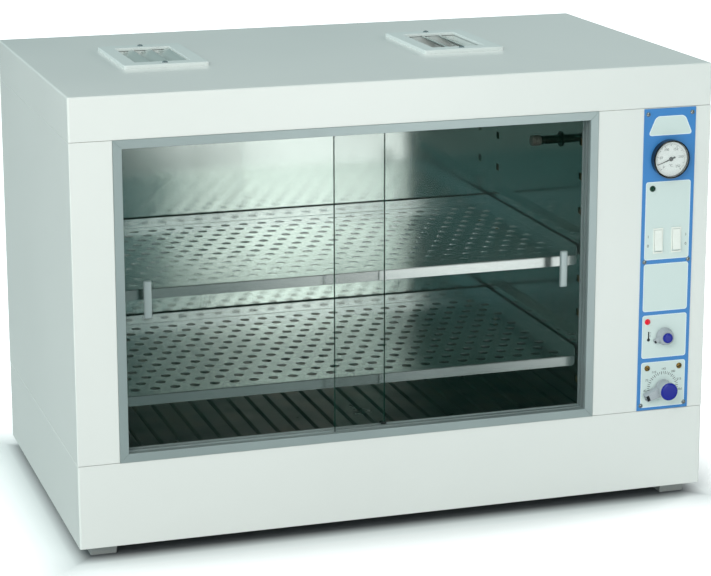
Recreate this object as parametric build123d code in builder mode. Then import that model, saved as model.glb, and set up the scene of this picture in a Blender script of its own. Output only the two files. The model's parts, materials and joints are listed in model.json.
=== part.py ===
"""Glassware drying oven: a bench cabinet with two sliding panes, two perforated shelves,
two louvred roof vents and a column of controls at the right of its front.

Millimetres. X runs to the right along the front, the front looks along -Y, Z is up.
The origin is on the floor, under the middle of the whole object.
"""
import os
from math import radians, tan

from build123d import *

os.makedirs("parts", exist_ok=True)

# Casing
casing_width = 1000.0
casing_depth = 580.0
casing_height = 675.0
plinth_height = 128.0
cover_height = 65.0
cover_edge = 1.2
left_post_width = 63.5
control_post_width = 187.0
sheet = 1.5
fold_radius = 3.0
seam = 0.6
return_flange = 22.0
panel_back_gap = 0.8
foot_height = 18.0
foot_side = 42.0
foot_inset = 18.0
foot_taper = 4.0

# Air inlets in the floor of the plinth
inlet_length = 60.0
inlet_width = 6.0
inlet_pitch = 90.0
inlet_count = 6

# Window frame and sliding panes
frame_face = 13.0
frame_depth = 32.5
frame_proud = 1.5
glass_thickness = 5.0
glass_clearance = 0.75
front_glass_depth = 9.0
glass_spacing = 13.0
side_groove = 5.5
bottom_groove = 4.0
top_groove = 9.5
glass_side_gap = 0.25
glass_top_catch = 5.0
glass_overlap = 84.0
glass_edge_chamfer = 0.8
pull_width = 12.0
pull_height = 57.0
pull_thickness = 6.0
pull_edge = 1.5
pull_from_stile = 37.5
pull_drop = 2.0
guide_width = 9.0
guide_height = 3.5
guide_thickness = 8.0
guide_clearance = 0.3

# Stainless chamber and its insulation
liner_sheet = 1.2
chamber_left_inset = 74.5
chamber_right_inset = 197.5
chamber_back_inset = 143.0
chamber_top_inset = 72.0
sump_floor = 45.0
hook_space = 6.0
insulation_thickness = 45.0
mouth_gap = 2.0

# Slots in the chamber's side walls, and the channels hooked into them; each shelf has its own
# count of slots below the pair that it uses
slot_width = 12.0
slot_height = 11.0
slot_pitch = 54.0
lowest_slot = 178.0
highest_slot_inset = 35.0
front_slot_depth = 42.0
rear_slot_inset = 42.0
runner_sheet = 1.2
runner_height = 37.0
runner_ledge = 13.0
runner_flange_start = 10.0
wall_clearance = 0.3
hook_width = 9.0
hook_clearance = 0.5
hook_lip = 3.0
lower_shelf_slot_count = 1
upper_shelf_slot_count = 4

# Shelves, drawn with every second hole of the real pattern and four sides to a hole
shelf_sheet = 1.2
shelf_side_gap = 4.5
shelf_front_depth = 38.0
shelf_back_gap = 6.0
shelf_below_slot = 15.0
shelf_upstand = 15.0
shelf_lip = 16.0
shelf_corner = 6.0
hole_pitch = 30.5
hole_diameter = 16.0
hole_sides = 4
hole_margin = 22.0

# Floor plate over the heaters
floor_plate_level = 138.0
floor_plate_sheet = 1.2
floor_plate_gap = 1.0
groove_pitch = 30.3
groove_width = 7.0
groove_depth = 5.0
ledge_width = 12.0

# Tubular heaters
heater_diameter = 8.5
heater_level = 92.0
heater_bend_radius = 32.0
heater_end_gap = 68.0
heater_spacing = 190.0
heater_flange_diameter = 26.0
heater_flange_thickness = 2.0
heater_terminal = 70.0
heater_hole_clearance = 0.1

# Roof vents
vent_width = 132.0
vent_length = 200.0
vent_thickness = 5.5
vent_opening_width = 86.0
vent_opening_length = 144.0
vent_left_inset = 122.0
vent_right_inset = 126.0
vent_back_inset = 119.0
vent_skirt_wall = 2.0
vent_skirt_depth = 34.0
vent_edge = 1.0
vent_corner = 2.5
vent_fit = 0.5
blade_count = 3
blade_chord = 27.5
blade_sagitta = 2.5
blade_sheet = 1.2
blade_rest_tilt = 30.0
blade_end_gap = 0.8
pivot_below_top = 7.7
pivot_pin_radius = 1.5
pivot_pin_length = 1.8
pivot_pin_root = 4.0
pin_clearance = 0.15
crank_length = 21.0
crank_width = 5.0
crank_thickness = 2.0
crank_from_end = 12.0
crank_pin_radius = 1.3
crank_pin_length = 3.0
tie_bar_height = 5.0
tie_bar_thickness = 1.6
tie_bar_gap = 0.5
duct_sheet = 1.0

# Small round pieces are drawn with this many sides, and the smallest ones with fewer
round_sides = 24
flange_sides = 12
pin_sides = 8
stem_sides = 6

# Screws
screw_head_diameter = 9.0
screw_head_height = 2.5
screw_head_taper = 25.0
screw_shank_diameter = 4.0
screw_clearance = 0.1
vent_screw_length = 12.0
back_screw_length = 8.0
back_screw_rows = 3

# Control plate
control_plate_width = 86.0
control_plate_right_inset = 26.0
control_plate_margin = 1.0
control_plate_sheet = 1.5
control_window_width = 68.0
control_window_margin = 4.0
plate_screw_diameter = 7.0
plate_screw_height = 1.8
plate_screw_shank = 3.0
plate_screw_length = 7.0
plate_screw_inset = 6.0
plate_screw_end = 8.0

# Dial thermometer; the upper controls hang from the plate's top, the lower ones stand on its foot
thermometer_drop = 78.4
bezel_diameter = 60.0
bezel_depth = 12.0
bezel_rim = 1.7
case_diameter = 50.0
case_depth = 22.0
case_clearance = 0.3
lens_thickness = 2.0
lens_recess = 0.3
lens_clearance = 0.1
lens_seat = 1.0
dial_thickness = 0.8
dial_depth = 6.0
needle_length = 24.0
needle_tail = 7.0
needle_width = 1.6
needle_tip = 0.5
needle_thickness = 0.8
needle_lift = 1.2
needle_hub_radius = 3.0
needle_rest_angle = 249.0
spindle_radius = 0.8
spindle_length = 5.0
spindle_clearance = 0.15

# Pilot lamps
green_lamp_left = 26.3
green_lamp_drop = 124.7
red_lamp_left = 28.7
red_lamp_rise = 143.7
lamp_lens_diameter = 8.5
lamp_flange_diameter = 9.6
lamp_flange_thickness = 1.0
lamp_reach = 4.0
lamp_barrel_diameter = 7.0
lamp_barrel_length = 20.0
lamp_taper = 20.0
lamp_clearance = 0.1

# Rocker switches
switch_spacing = 30.5
switch_drop = 207.25
switch_width = 16.4
switch_height = 40.0
switch_bezel = 2.0
switch_body_width = 14.6
switch_body_height = 37.2
switch_body_depth = 24.0
switch_clearance = 0.3
rocker_width = 12.4
rocker_height = 32.0
rocker_side_gap = 0.5
rocker_end_gap = 1.5
rocker_swing = 8.0
rocker_pivot_depth = 3.0
rocker_proud = 0.5
rocker_end_thickness = 3.2
rocker_heel = 6.0
rocker_heel_half = 6.0
rocker_pin_radius = 1.2
rocker_pin_clearance = 0.15
rocker_pin_length = 0.9
rocker_well = 14.0

# Thermostat and limit thermostat behind the plate
thermostat_rise = 35.0
limiter_rise = 119.0
shaft_hole_diameter = 10.0
shaft_diameter = 6.0
shaft_clearance = 0.3
socket_clearance = 0.1
shaft_inside = 18.0
knob_socket = 11.0
shaft_end_gap = 1.0
bracket_sheet = 2.0
bracket_margin = 6.0
mechanism_side = 38.0
mechanism_depth = 26.0
brass_screw_diameter = 9.2
brass_screw_height = 1.6
brass_screw_shank = 4.0
brass_screw_length = 9.0
brass_screw_spacing = 55.0
brass_screw_rise = 33.4

# Knobs; a pointer is its reach from the shaft, its width there and at its tip, and its height
knob_panel_gap = 1.5
knob_rest_angle = 248.0
thermostat_knob_base = 27.0
thermostat_knob_front = 30.0
thermostat_knob_length = 23.0
thermostat_cap_diameter = 28.0
thermostat_cap_thickness = 3.0
thermostat_pointer = (34.0, 18.0, 11.0, 12.0)
limiter_knob_base = 28.0
limiter_knob_front = 25.0
limiter_knob_length = 12.0
limiter_cap_diameter = 16.0
limiter_cap_thickness = 4.0
limiter_pointer = (19.5, 11.0, 5.0, 6.0)
cap_taper = 10.0

# Sensor in the chamber's right wall
sensor_depth = 122.0
sensor_drop = 57.0
sensor_flange_diameter = 24.0
sensor_flange_thickness = 2.0
sensor_socket_diameter = 13.0
sensor_socket_length = 34.0
sensor_bulb_diameter = 17.0
sensor_bulb_length = 17.0
sensor_stem_diameter = 6.0
sensor_tail = 14.0
sensor_clearance = 0.1

# Terminal block on the floor of the control compartment
terminal_length = 64.0
terminal_width = 22.0
terminal_height = 20.0
terminal_poles = 5
terminal_screw_diameter = 5.0
terminal_screw_depth = 4.0
terminal_right_inset = 80.0
terminal_back_inset = 80.0

# Cable gland in the back panel
gland_right_inset = 60.0
gland_level = 182.0
gland_bore = 9.0
gland_thread = 16.0
gland_hex = 22.0
gland_hex_thickness = 6.0
gland_dome_diameter = 19.0
gland_dome_length = 17.5
gland_inside = 9.0
gland_nut_thickness = 5.0
gland_taper = 6.0
gland_clearance = 0.1

# How far the object stands in front of and behind its casing sets where the origin lies
front_reach = control_plate_sheet + knob_panel_gap + thermostat_knob_length + thermostat_cap_thickness
rear_reach = gland_hex_thickness + gland_dome_length - sheet
left_x = -casing_width / 2
right_x = casing_width / 2
face_y = (front_reach - rear_reach - casing_depth) / 2
back_y = face_y + casing_depth
middle_y = face_y + casing_depth / 2
base_z = foot_height
top_z = base_z + casing_height
plinth_top = base_z + plinth_height
cover_bottom = top_z - cover_height
wall_left = left_x + chamber_left_inset
wall_right = right_x - chamber_right_inset
wall_back = back_y - chamber_back_inset
ceiling_z = top_z - chamber_top_inset


def across(distance):
    """X of a point measured from the casing's left side."""
    return left_x + distance


def behind(depth):
    """Y of a point measured backwards from the casing's front face."""
    return face_y + depth


def level(height):
    """Z of a point measured up from the casing's underside."""
    return base_z + height


def facing(depth):
    """A plane at this depth behind the front face, drawn as seen from the front."""
    return Plane.XZ.offset(-behind(depth))


def save(part, name):
    """Label a finished piece and write its STEP file."""
    part.label = name
    export_step(part, f"parts/{name}.step")


def polygon(sides, radius, mode=Mode.ADD):
    """A regular outline that lies inside a circle of this radius."""
    RegularPolygon(radius, sides, rotation=180 / sides, mode=mode)


def around(sides, radius, mode=Mode.ADD):
    """A regular outline that lies outside a circle of this radius."""
    RegularPolygon(radius, sides, major_radius=False, rotation=180 / sides, mode=mode)


# Feet
foot_x = casing_width / 2 - foot_inset - foot_side / 2
foot_y = casing_depth / 2 - foot_inset - foot_side / 2
with BuildPart() as feet:
    with BuildSketch(Plane.XY.offset(base_z)) as foot_tops:
        with Locations((0, middle_y)):
            with GridLocations(2 * foot_x, 2 * foot_y, 2, 2):
                Rectangle(foot_side, foot_side)
    extrude(amount=-foot_height, taper=foot_taper)
save(feet.part, "feet")


# Base plinth: a folded tray with an inward flange round its top edge
def flange_ring(z):
    """The inward flange that stiffens the open edge of the plinth and of the cover."""
    with BuildSketch(Plane.XY.offset(z)) as ring:
        with Locations((0, middle_y)):
            Rectangle(casing_width - 2 * sheet, casing_depth - 2 * sheet)
            Rectangle(
                casing_width - 2 * return_flange,
                casing_depth - 2 * return_flange,
                mode=Mode.SUBTRACT,
            )
    extrude(ring.sketch, amount=sheet)


def casing_block(z, height, mode):
    """The casing's plan, with folded corners, as a block between two levels."""
    with BuildSketch(Plane.XY.offset(z)) as plan:
        with Locations((0, middle_y)):
            RectangleRounded(casing_width, casing_depth, fold_radius)
    extrude(plan.sketch, amount=height, mode=mode)


def casing_hollow(z, height):
    """The room inside the casing's sheet, cut out between two levels."""
    with BuildSketch(Plane.XY.offset(z)) as plan:
        with Locations((0, middle_y)):
            Rectangle(casing_width - 2 * sheet, casing_depth - 2 * sheet)
    extrude(plan.sketch, amount=height, mode=Mode.SUBTRACT)


with BuildPart() as base_plinth:
    casing_block(base_z, plinth_height - seam / 2, Mode.ADD)
    casing_hollow(base_z + sheet, plinth_height)
    flange_ring(plinth_top - seam / 2 - sheet)
    with BuildSketch(Plane.XY.offset(base_z)):
        with Locations((0, middle_y)):
            with GridLocations(inlet_pitch, foot_y, inlet_count, 2):
                Rectangle(inlet_length, inlet_width)
    extrude(amount=sheet, mode=Mode.SUBTRACT)
save(base_plinth.part, "base_plinth")


# Top cover: a folded lid with two holes for the vents
vent_centres = {"left": wall_left + vent_left_inset, "right": wall_right - vent_right_inset}
vent_y = wall_back - vent_back_inset
vent_screw_offset = (vent_opening_length + vent_length) / 4
vent_hole_width = vent_opening_width + 2 * vent_skirt_wall + 2 * vent_fit
vent_hole_length = vent_opening_length + 2 * vent_skirt_wall + 2 * vent_fit
screw_hole = screw_shank_diameter + 2 * screw_clearance

with BuildPart() as top_cover:
    casing_block(cover_bottom + seam / 2, cover_height - seam / 2, Mode.ADD)
    chamfer(top_cover.faces().sort_by(Axis.Z)[-1].edges(), cover_edge)
    casing_hollow(cover_bottom, cover_height - sheet)
    flange_ring(cover_bottom + seam / 2)
    with BuildSketch(Plane.XY.offset(top_z)):
        with Locations(*[(x, vent_y) for x in vent_centres.values()]):
            Rectangle(vent_hole_width, vent_hole_length)
            with GridLocations(0, 2 * vent_screw_offset, 1, 2):
                Rectangle(screw_hole, screw_hole)
    extrude(amount=-2 * sheet, mode=Mode.SUBTRACT)
save(top_cover.part, "top_cover")


# Side panels, each folded in one with its post of the front and a flange at the back
panel_bottom = plinth_top + seam / 2
panel_height = cover_bottom - plinth_top - seam
back_screw_x = casing_width / 2 - return_flange / 2
back_screw_pitch = panel_height / back_screw_rows


def folded_side(post_width, side_sign):
    """The plan of a side panel: front return, post, side wall and rear flange."""
    outer = side_sign * casing_width / 2
    inner = outer - side_sign * post_width
    with BuildSketch(Plane.XY.offset(panel_bottom)) as plan:
        with BuildLine():
            FilletPolyline(
                (inner, face_y + return_flange),
                (inner, face_y),
                (outer, face_y),
                (outer, back_y),
                (outer - side_sign * return_flange, back_y),
                radius=fold_radius / 2,
            )
            offset(
                amount=sheet,
                side=Side.LEFT if side_sign > 0 else Side.RIGHT,
                kind=Kind.INTERSECTION,
            )
        make_face()
    extrude(plan.sketch, amount=panel_height)


def back_screw_holes(side_sign):
    """The screw holes of one rear flange and of the back panel behind it."""
    with BuildSketch(Plane.XZ.offset(-back_y - sheet)) as holes:
        with Locations((side_sign * back_screw_x, panel_bottom + panel_height / 2)):
            with GridLocations(0, back_screw_pitch, 1, back_screw_rows):
                Rectangle(screw_hole, screw_hole)
    extrude(holes.sketch, amount=4 * sheet, mode=Mode.SUBTRACT)


with BuildPart() as left_side_panel:
    folded_side(left_post_width, -1)
    back_screw_holes(-1)
save(left_side_panel.part, "left_side_panel")


# The control plate's holes go through the post behind it as well
control_x = right_x - control_plate_right_inset - control_plate_width / 2
plate_bottom = plinth_top + control_plate_margin
plate_top = cover_bottom - control_plate_margin
plate_middle_z = (plate_bottom + plate_top) / 2
plate_screw_x = control_plate_width / 2 - plate_screw_inset
plate_screw_zs = (plate_bottom + plate_screw_end, plate_middle_z, plate_top - plate_screw_end)
thermostat_z = plate_bottom + thermostat_rise
limiter_z = plate_bottom + limiter_rise
brass_screw_z = thermostat_z + brass_screw_rise
thermometer_place = (control_x, plate_top - thermometer_drop)
lamp_places = {
    "green": (control_x - green_lamp_left, plate_top - green_lamp_drop),
    "red": (control_x - red_lamp_left, plate_bottom + red_lamp_rise),
}
switch_z = plate_top - switch_drop
switch_middles = {"left": control_x - switch_spacing / 2, "right": control_x + switch_spacing / 2}
plate_screw_hole = plate_screw_shank + 2 * screw_clearance
brass_screw_hole = brass_screw_shank + 2 * screw_clearance


def plate_screw_holes(mode):
    """The holes of the screws that hold the control plate to the post."""
    for screw_z in plate_screw_zs:
        with Locations((control_x, screw_z)):
            with GridLocations(2 * plate_screw_x, 0, 2, 1):
                Rectangle(plate_screw_hole, plate_screw_hole, mode=mode)


with BuildPart() as right_side_panel:
    folded_side(control_post_width, 1)
    back_screw_holes(1)
    with BuildSketch(facing(0)):
        with Locations((control_x, plate_middle_z)):
            Rectangle(control_window_width, plate_top - plate_bottom - 2 * control_window_margin)
        plate_screw_holes(Mode.ADD)
    extrude(amount=-sheet, mode=Mode.SUBTRACT)
save(right_side_panel.part, "right_side_panel")

with BuildPart() as control_plate:
    with BuildSketch(facing(0)):
        with Locations((control_x, plate_middle_z)):
            Rectangle(control_plate_width, plate_top - plate_bottom)
        plate_screw_holes(Mode.SUBTRACT)
        with Locations(thermometer_place):
            around(round_sides, case_diameter / 2 + case_clearance, Mode.SUBTRACT)
        with Locations((control_x, thermostat_z), (control_x, limiter_z)):
            polygon(pin_sides, shaft_hole_diameter / 2, Mode.SUBTRACT)
        with Locations(*lamp_places.values()):
            around(pin_sides, lamp_barrel_diameter / 2 + lamp_clearance, Mode.SUBTRACT)
        with Locations((control_x, switch_z)):
            with GridLocations(switch_spacing, 0, 2, 1):
                Rectangle(
                    switch_body_width + 2 * switch_clearance,
                    switch_body_height + 2 * switch_clearance,
                    mode=Mode.SUBTRACT,
                )
        with Locations((control_x, brass_screw_z)):
            with GridLocations(brass_screw_spacing, 0, 2, 1):
                Rectangle(brass_screw_hole, brass_screw_hole, mode=Mode.SUBTRACT)
    extrude(amount=control_plate_sheet)
save(control_plate.part, "control_plate")


# Back panel, inside the rear flanges of the side panels
gland_place = (right_x - gland_right_inset, level(gland_level))
with BuildPart() as back_panel:
    with BuildSketch(Plane.XZ.offset(-back_y + sheet)):
        with Locations((0, panel_bottom + panel_height / 2)):
            Rectangle(casing_width - 2 * sheet - 2 * panel_back_gap, panel_height)
        with Locations(gland_place):
            around(flange_sides, gland_thread / 2 + gland_clearance, Mode.SUBTRACT)
    extrude(amount=sheet)
    for side in (-1, 1):
        back_screw_holes(side)
save(back_panel.part, "back_panel")


# Window frame: four mitred rails with two grooves each
frame_left = across(left_post_width)
frame_right = right_x - control_post_width
frame_bottom = plinth_top
frame_top = cover_bottom
glass_depths = (front_glass_depth, front_glass_depth + glass_spacing)


def grooved_rail(plane, groove_depth, length):
    """A rail drawn with its outer face on the plane's X axis, its depth along +X."""
    with BuildSketch(plane) as section:
        Rectangle(frame_depth, frame_face, align=(Align.MIN, Align.MIN))
        for depth in glass_depths:
            with Locations((frame_proud + depth - glass_clearance, frame_face - groove_depth)):
                Rectangle(
                    glass_thickness + 2 * glass_clearance,
                    groove_depth,
                    align=(Align.MIN, Align.MIN),
                    mode=Mode.SUBTRACT,
                )
    extrude(section.sketch, amount=length)


def mitre(corner_x, corner_z, slope_x, slope_z, keep):
    """Cut a rail at forty-five degrees through one outer corner of the frame."""
    split(
        bisect_by=Plane(origin=(corner_x, 0, corner_z), z_dir=(slope_z, 0, -slope_x)),
        keep=keep,
    )


frame_width = frame_right - frame_left
frame_height = frame_top - frame_bottom
frame_front = face_y - frame_proud

with BuildPart() as frame_bottom_rail:
    grooved_rail(
        Plane((frame_left, frame_front, frame_bottom), x_dir=(0, 1, 0), z_dir=(1, 0, 0)),
        bottom_groove,
        frame_width,
    )
    mitre(frame_left, frame_bottom, 1, 1, Keep.TOP)
    mitre(frame_right, frame_bottom, -1, 1, Keep.BOTTOM)
save(frame_bottom_rail.part, "frame_bottom_rail")

with BuildPart() as frame_top_rail:
    grooved_rail(
        Plane((frame_right, frame_front, frame_top), x_dir=(0, 1, 0), z_dir=(-1, 0, 0)),
        top_groove,
        frame_width,
    )
    mitre(frame_left, frame_top, 1, -1, Keep.BOTTOM)
    mitre(frame_right, frame_top, -1, -1, Keep.TOP)
save(frame_top_rail.part, "frame_top_rail")

with BuildPart() as frame_left_stile:
    grooved_rail(
        Plane((frame_left, frame_front, frame_top), x_dir=(0, 1, 0), z_dir=(0, 0, -1)),
        side_groove,
        frame_height,
    )
    mitre(frame_left, frame_bottom, 1, 1, Keep.BOTTOM)
    mitre(frame_left, frame_top, 1, -1, Keep.TOP)
save(frame_left_stile.part, "frame_left_stile")

with BuildPart() as frame_right_stile:
    grooved_rail(
        Plane((frame_right, frame_front, frame_bottom), x_dir=(0, 1, 0), z_dir=(0, 0, 1)),
        side_groove,
        frame_height,
    )
    mitre(frame_right, frame_bottom, -1, 1, Keep.TOP)
    mitre(frame_right, frame_top, -1, -1, Keep.BOTTOM)
save(frame_right_stile.part, "frame_right_stile")


# Sliding panes, their pulls and the guide clip at the rear pane's lower corner
groove_floor_left = frame_left + frame_face - side_groove
groove_floor_right = frame_right - frame_face + side_groove
glass_width = (groove_floor_right - groove_floor_left + glass_overlap) / 2 - glass_side_gap
glass_bottom = frame_bottom + frame_face - bottom_groove
glass_top = frame_top - frame_face + glass_top_catch
front_glass_y, rear_glass_y = (behind(depth) for depth in glass_depths)
glass_lefts = {
    "left": groove_floor_left + glass_side_gap,
    "right": groove_floor_right - glass_side_gap - glass_width,
}
glass_fronts = {"left": rear_glass_y, "right": front_glass_y}
pull_centres = {
    "left": frame_left + frame_face + pull_from_stile,
    "right": frame_right - frame_face - pull_from_stile,
}
for side in ("left", "right"):
    glass_front = Plane.XZ.offset(-glass_fronts[side])
    with BuildPart() as door_glass:
        with BuildSketch(glass_front):
            with Locations((glass_lefts[side], glass_bottom)):
                Rectangle(glass_width, glass_top - glass_bottom, align=(Align.MIN, Align.MIN))
        extrude(amount=-glass_thickness)
        chamfer(door_glass.edges().filter_by(Axis.Z), glass_edge_chamfer)
    save(door_glass.part, f"{side}_door_glass")
    with BuildPart() as door_pull:
        with BuildSketch(glass_front):
            with Locations((pull_centres[side], (frame_bottom + frame_top) / 2 - pull_drop)):
                Rectangle(pull_width, pull_height)
        extrude(amount=pull_thickness)
        chamfer(door_pull.faces().sort_by(Axis.Y)[0].edges(), pull_edge)
    save(door_pull.part, f"{side}_door_pull")

guide_right = glass_lefts["left"] + glass_width + guide_clearance + sheet
guide_bottom = frame_bottom + frame_face + guide_clearance
guide_middle_y = rear_glass_y + glass_thickness / 2
with BuildPart() as left_door_guide:
    with BuildSketch(Plane.XY.offset(guide_bottom)):
        with Locations((guide_right, guide_middle_y)):
            Rectangle(guide_width, guide_thickness, align=(Align.MAX, Align.CENTER))
        with Locations((guide_right - sheet, guide_middle_y)):
            Rectangle(
                guide_width,
                glass_thickness + 2 * guide_clearance,
                align=(Align.MAX, Align.CENTER),
                mode=Mode.SUBTRACT,
            )
    extrude(amount=guide_height)
save(left_door_guide.part, "left_door_guide")


# Chamber liner: a box with a heater sump, its mouth behind the window frame
chamber_width = wall_right - wall_left
chamber_middle = (wall_left + wall_right) / 2
liner_front = face_y - frame_proud + frame_depth
sump_z = level(sump_floor)
mouth_bottom = frame_bottom + frame_face - mouth_gap
lowest_slot_z = level(lowest_slot)
slot_count = int((ceiling_z - highest_slot_inset - lowest_slot_z) / slot_pitch) + 1
slot_levels = [lowest_slot_z + slot_pitch * step for step in range(slot_count)]
slot_depths = (behind(front_slot_depth), wall_back - rear_slot_inset)
floor_plate_z = level(floor_plate_level)
ledge_top = floor_plate_z - floor_plate_sheet
heater_ys = [(liner_front + wall_back) / 2 + offset_y for offset_y in (-heater_spacing / 2, heater_spacing / 2)]
heater_z = level(heater_level)
sensor_y = behind(sensor_depth)
sensor_z = ceiling_z - sensor_drop
liner_depth = wall_back - liner_front
heater_rods = [(y + shift, heater_z) for y in heater_ys for shift in (-heater_bend_radius, heater_bend_radius)]

with BuildPart() as chamber_liner:
    with BuildSketch(Plane.XZ.offset(-liner_front)):
        with Locations((wall_left - liner_sheet, sump_z - liner_sheet)):
            Rectangle(
                chamber_width + 2 * liner_sheet,
                ceiling_z - sump_z + 2 * liner_sheet,
                align=(Align.MIN, Align.MIN),
            )
    extrude(amount=-liner_depth - liner_sheet)
    with BuildSketch(Plane.XZ.offset(-liner_front)):
        with Locations((frame_left, frame_bottom)):
            Rectangle(frame_width, frame_height, align=(Align.MIN, Align.MIN))
    extrude(amount=-liner_sheet)
    with BuildSketch(Plane.XZ.offset(-liner_front - liner_sheet)):
        with Locations((wall_left, sump_z)):
            Rectangle(chamber_width, ceiling_z - sump_z, align=(Align.MIN, Align.MIN))
    extrude(amount=-liner_depth + liner_sheet, mode=Mode.SUBTRACT)
    with BuildSketch(Plane.XZ.offset(-liner_front)):
        with Locations((wall_left, mouth_bottom)):
            Rectangle(chamber_width, ceiling_z - mouth_bottom, align=(Align.MIN, Align.MIN))
    extrude(amount=-liner_sheet, mode=Mode.SUBTRACT)
    with BuildSketch(Plane.YZ.offset(wall_left - liner_sheet)):
        with Locations(*[(y, z) for y in slot_depths for z in slot_levels]):
            Rectangle(slot_width, slot_height)
    extrude(amount=chamber_width + 2 * liner_sheet, mode=Mode.SUBTRACT)
    with BuildSketch(Plane.XY.offset(ceiling_z)):
        with Locations(*[(x, vent_y) for x in vent_centres.values()]):
            Rectangle(vent_opening_width, vent_opening_length)
    extrude(amount=liner_sheet, mode=Mode.SUBTRACT)
    with BuildSketch(Plane.YZ.offset(wall_right)):
        with Locations(*heater_rods):
            polygon(stem_sides, heater_diameter / 2 + heater_hole_clearance)
        with Locations((sensor_y, sensor_z)):
            polygon(stem_sides, sensor_stem_diameter / 2 + sensor_clearance)
    extrude(amount=liner_sheet, mode=Mode.SUBTRACT)
    with BuildSketch(Plane.XY.offset(ledge_top)):
        with Locations((chamber_middle, (liner_front + wall_back) / 2)):
            with GridLocations(chamber_width - ledge_width, 0, 2, 1):
                Rectangle(ledge_width, liner_depth - liner_sheet)
    extrude(amount=-liner_sheet)
save(chamber_liner.part, "chamber_liner")


# Insulation round the liner, with room behind the walls for the runners' hooks
insulation_left = -casing_width / 2 + return_flange + wall_clearance
insulation_right = wall_right + liner_sheet + hook_space + insulation_thickness
insulation_front = liner_front + 2 * liner_sheet
insulation_back = wall_back + liner_sheet + insulation_thickness
insulation_bottom = base_z + sheet
insulation_top = ceiling_z + liner_sheet + insulation_thickness
duct_outer_width = vent_opening_width + 2 * duct_sheet
duct_outer_length = vent_opening_length + 2 * duct_sheet
with BuildPart() as insulation_blanket:
    with BuildSketch(Plane.XY.offset(insulation_bottom)):
        with Locations((insulation_left, insulation_front)):
            Rectangle(
                insulation_right - insulation_left,
                insulation_back - insulation_front,
                align=(Align.MIN, Align.MIN),
            )
    extrude(amount=insulation_top - insulation_bottom)
    with BuildSketch(Plane.XZ.offset(-insulation_front)):
        with Locations((wall_left - liner_sheet - hook_space, sump_z - liner_sheet)):
            Rectangle(
                chamber_width + 2 * liner_sheet + 2 * hook_space,
                ceiling_z - sump_z + 2 * liner_sheet,
                align=(Align.MIN, Align.MIN),
            )
    extrude(amount=-(wall_back + liner_sheet - insulation_front), mode=Mode.SUBTRACT)
    with BuildSketch(Plane.XY.offset(ceiling_z)):
        with Locations(*[(x, vent_y) for x in vent_centres.values()]):
            Rectangle(vent_hole_width, vent_hole_length)
    extrude(amount=insulation_top - ceiling_z, mode=Mode.SUBTRACT)
    with BuildSketch(Plane.YZ.offset(wall_right)):
        with Locations(*heater_rods, (sensor_y, sensor_z)):
            Rectangle(heater_flange_diameter, heater_flange_diameter)
    extrude(amount=insulation_right - wall_right, mode=Mode.SUBTRACT)
save(insulation_blanket.part, "insulation_blanket")


# Channels that hook into the wall slots and carry the shelves
runner_back = wall_back - rear_slot_inset + slot_width / 2 - hook_clearance
runner_front = behind(front_slot_depth) - slot_width / 2 + hook_clearance
shelf_levels = {
    "upper": slot_levels[upper_shelf_slot_count] - shelf_below_slot,
    "lower": slot_levels[lower_shelf_slot_count] - shelf_below_slot,
}
for shelf_name, shelf_z in shelf_levels.items():
    slot_z = shelf_z + shelf_below_slot
    channel_bottom = shelf_z - shelf_sheet - runner_sheet
    with BuildPart() as shelf_runners:
        for wall_x, inward in ((wall_left, 1), (wall_right, -1)):
            web_x = wall_x + inward * wall_clearance
            ledge_x = wall_x + inward * runner_ledge
            with BuildSketch(Plane.XZ.offset(-runner_front - runner_flange_start)):
                with BuildLine():
                    Polyline(
                        (ledge_x, channel_bottom),
                        (web_x, channel_bottom),
                        (web_x, channel_bottom + runner_height),
                        (ledge_x, channel_bottom + runner_height),
                    )
                    offset(
                        amount=runner_sheet,
                        side=Side.RIGHT if inward > 0 else Side.LEFT,
                        kind=Kind.INTERSECTION,
                    )
                make_face()
            extrude(amount=-(runner_back - runner_front - 2 * runner_flange_start))
            hook_x = wall_x - inward * (liner_sheet + wall_clearance)
            for hook_y in slot_depths:
                with BuildSketch(Plane.XZ.offset(-hook_y - hook_width / 2)):
                    with BuildLine():
                        Polyline(
                            (web_x + inward * runner_sheet, slot_z + slot_height / 2 - hook_clearance),
                            (
                                hook_x - inward * runner_sheet,
                                slot_z + slot_height / 2 - hook_clearance,
                            ),
                            (hook_x - inward * runner_sheet, slot_z - slot_height / 2 - hook_lip),
                            (hook_x, slot_z - slot_height / 2 - hook_lip),
                            (hook_x, slot_z - slot_height / 2),
                            (web_x, slot_z - slot_height / 2),
                            (web_x, slot_z - slot_height),
                            (web_x + inward * runner_sheet, slot_z - slot_height),
                            close=True,
                        )
                    make_face()
                extrude(amount=hook_width)
    save(shelf_runners.part, f"{shelf_name}_shelf_runners")


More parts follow.
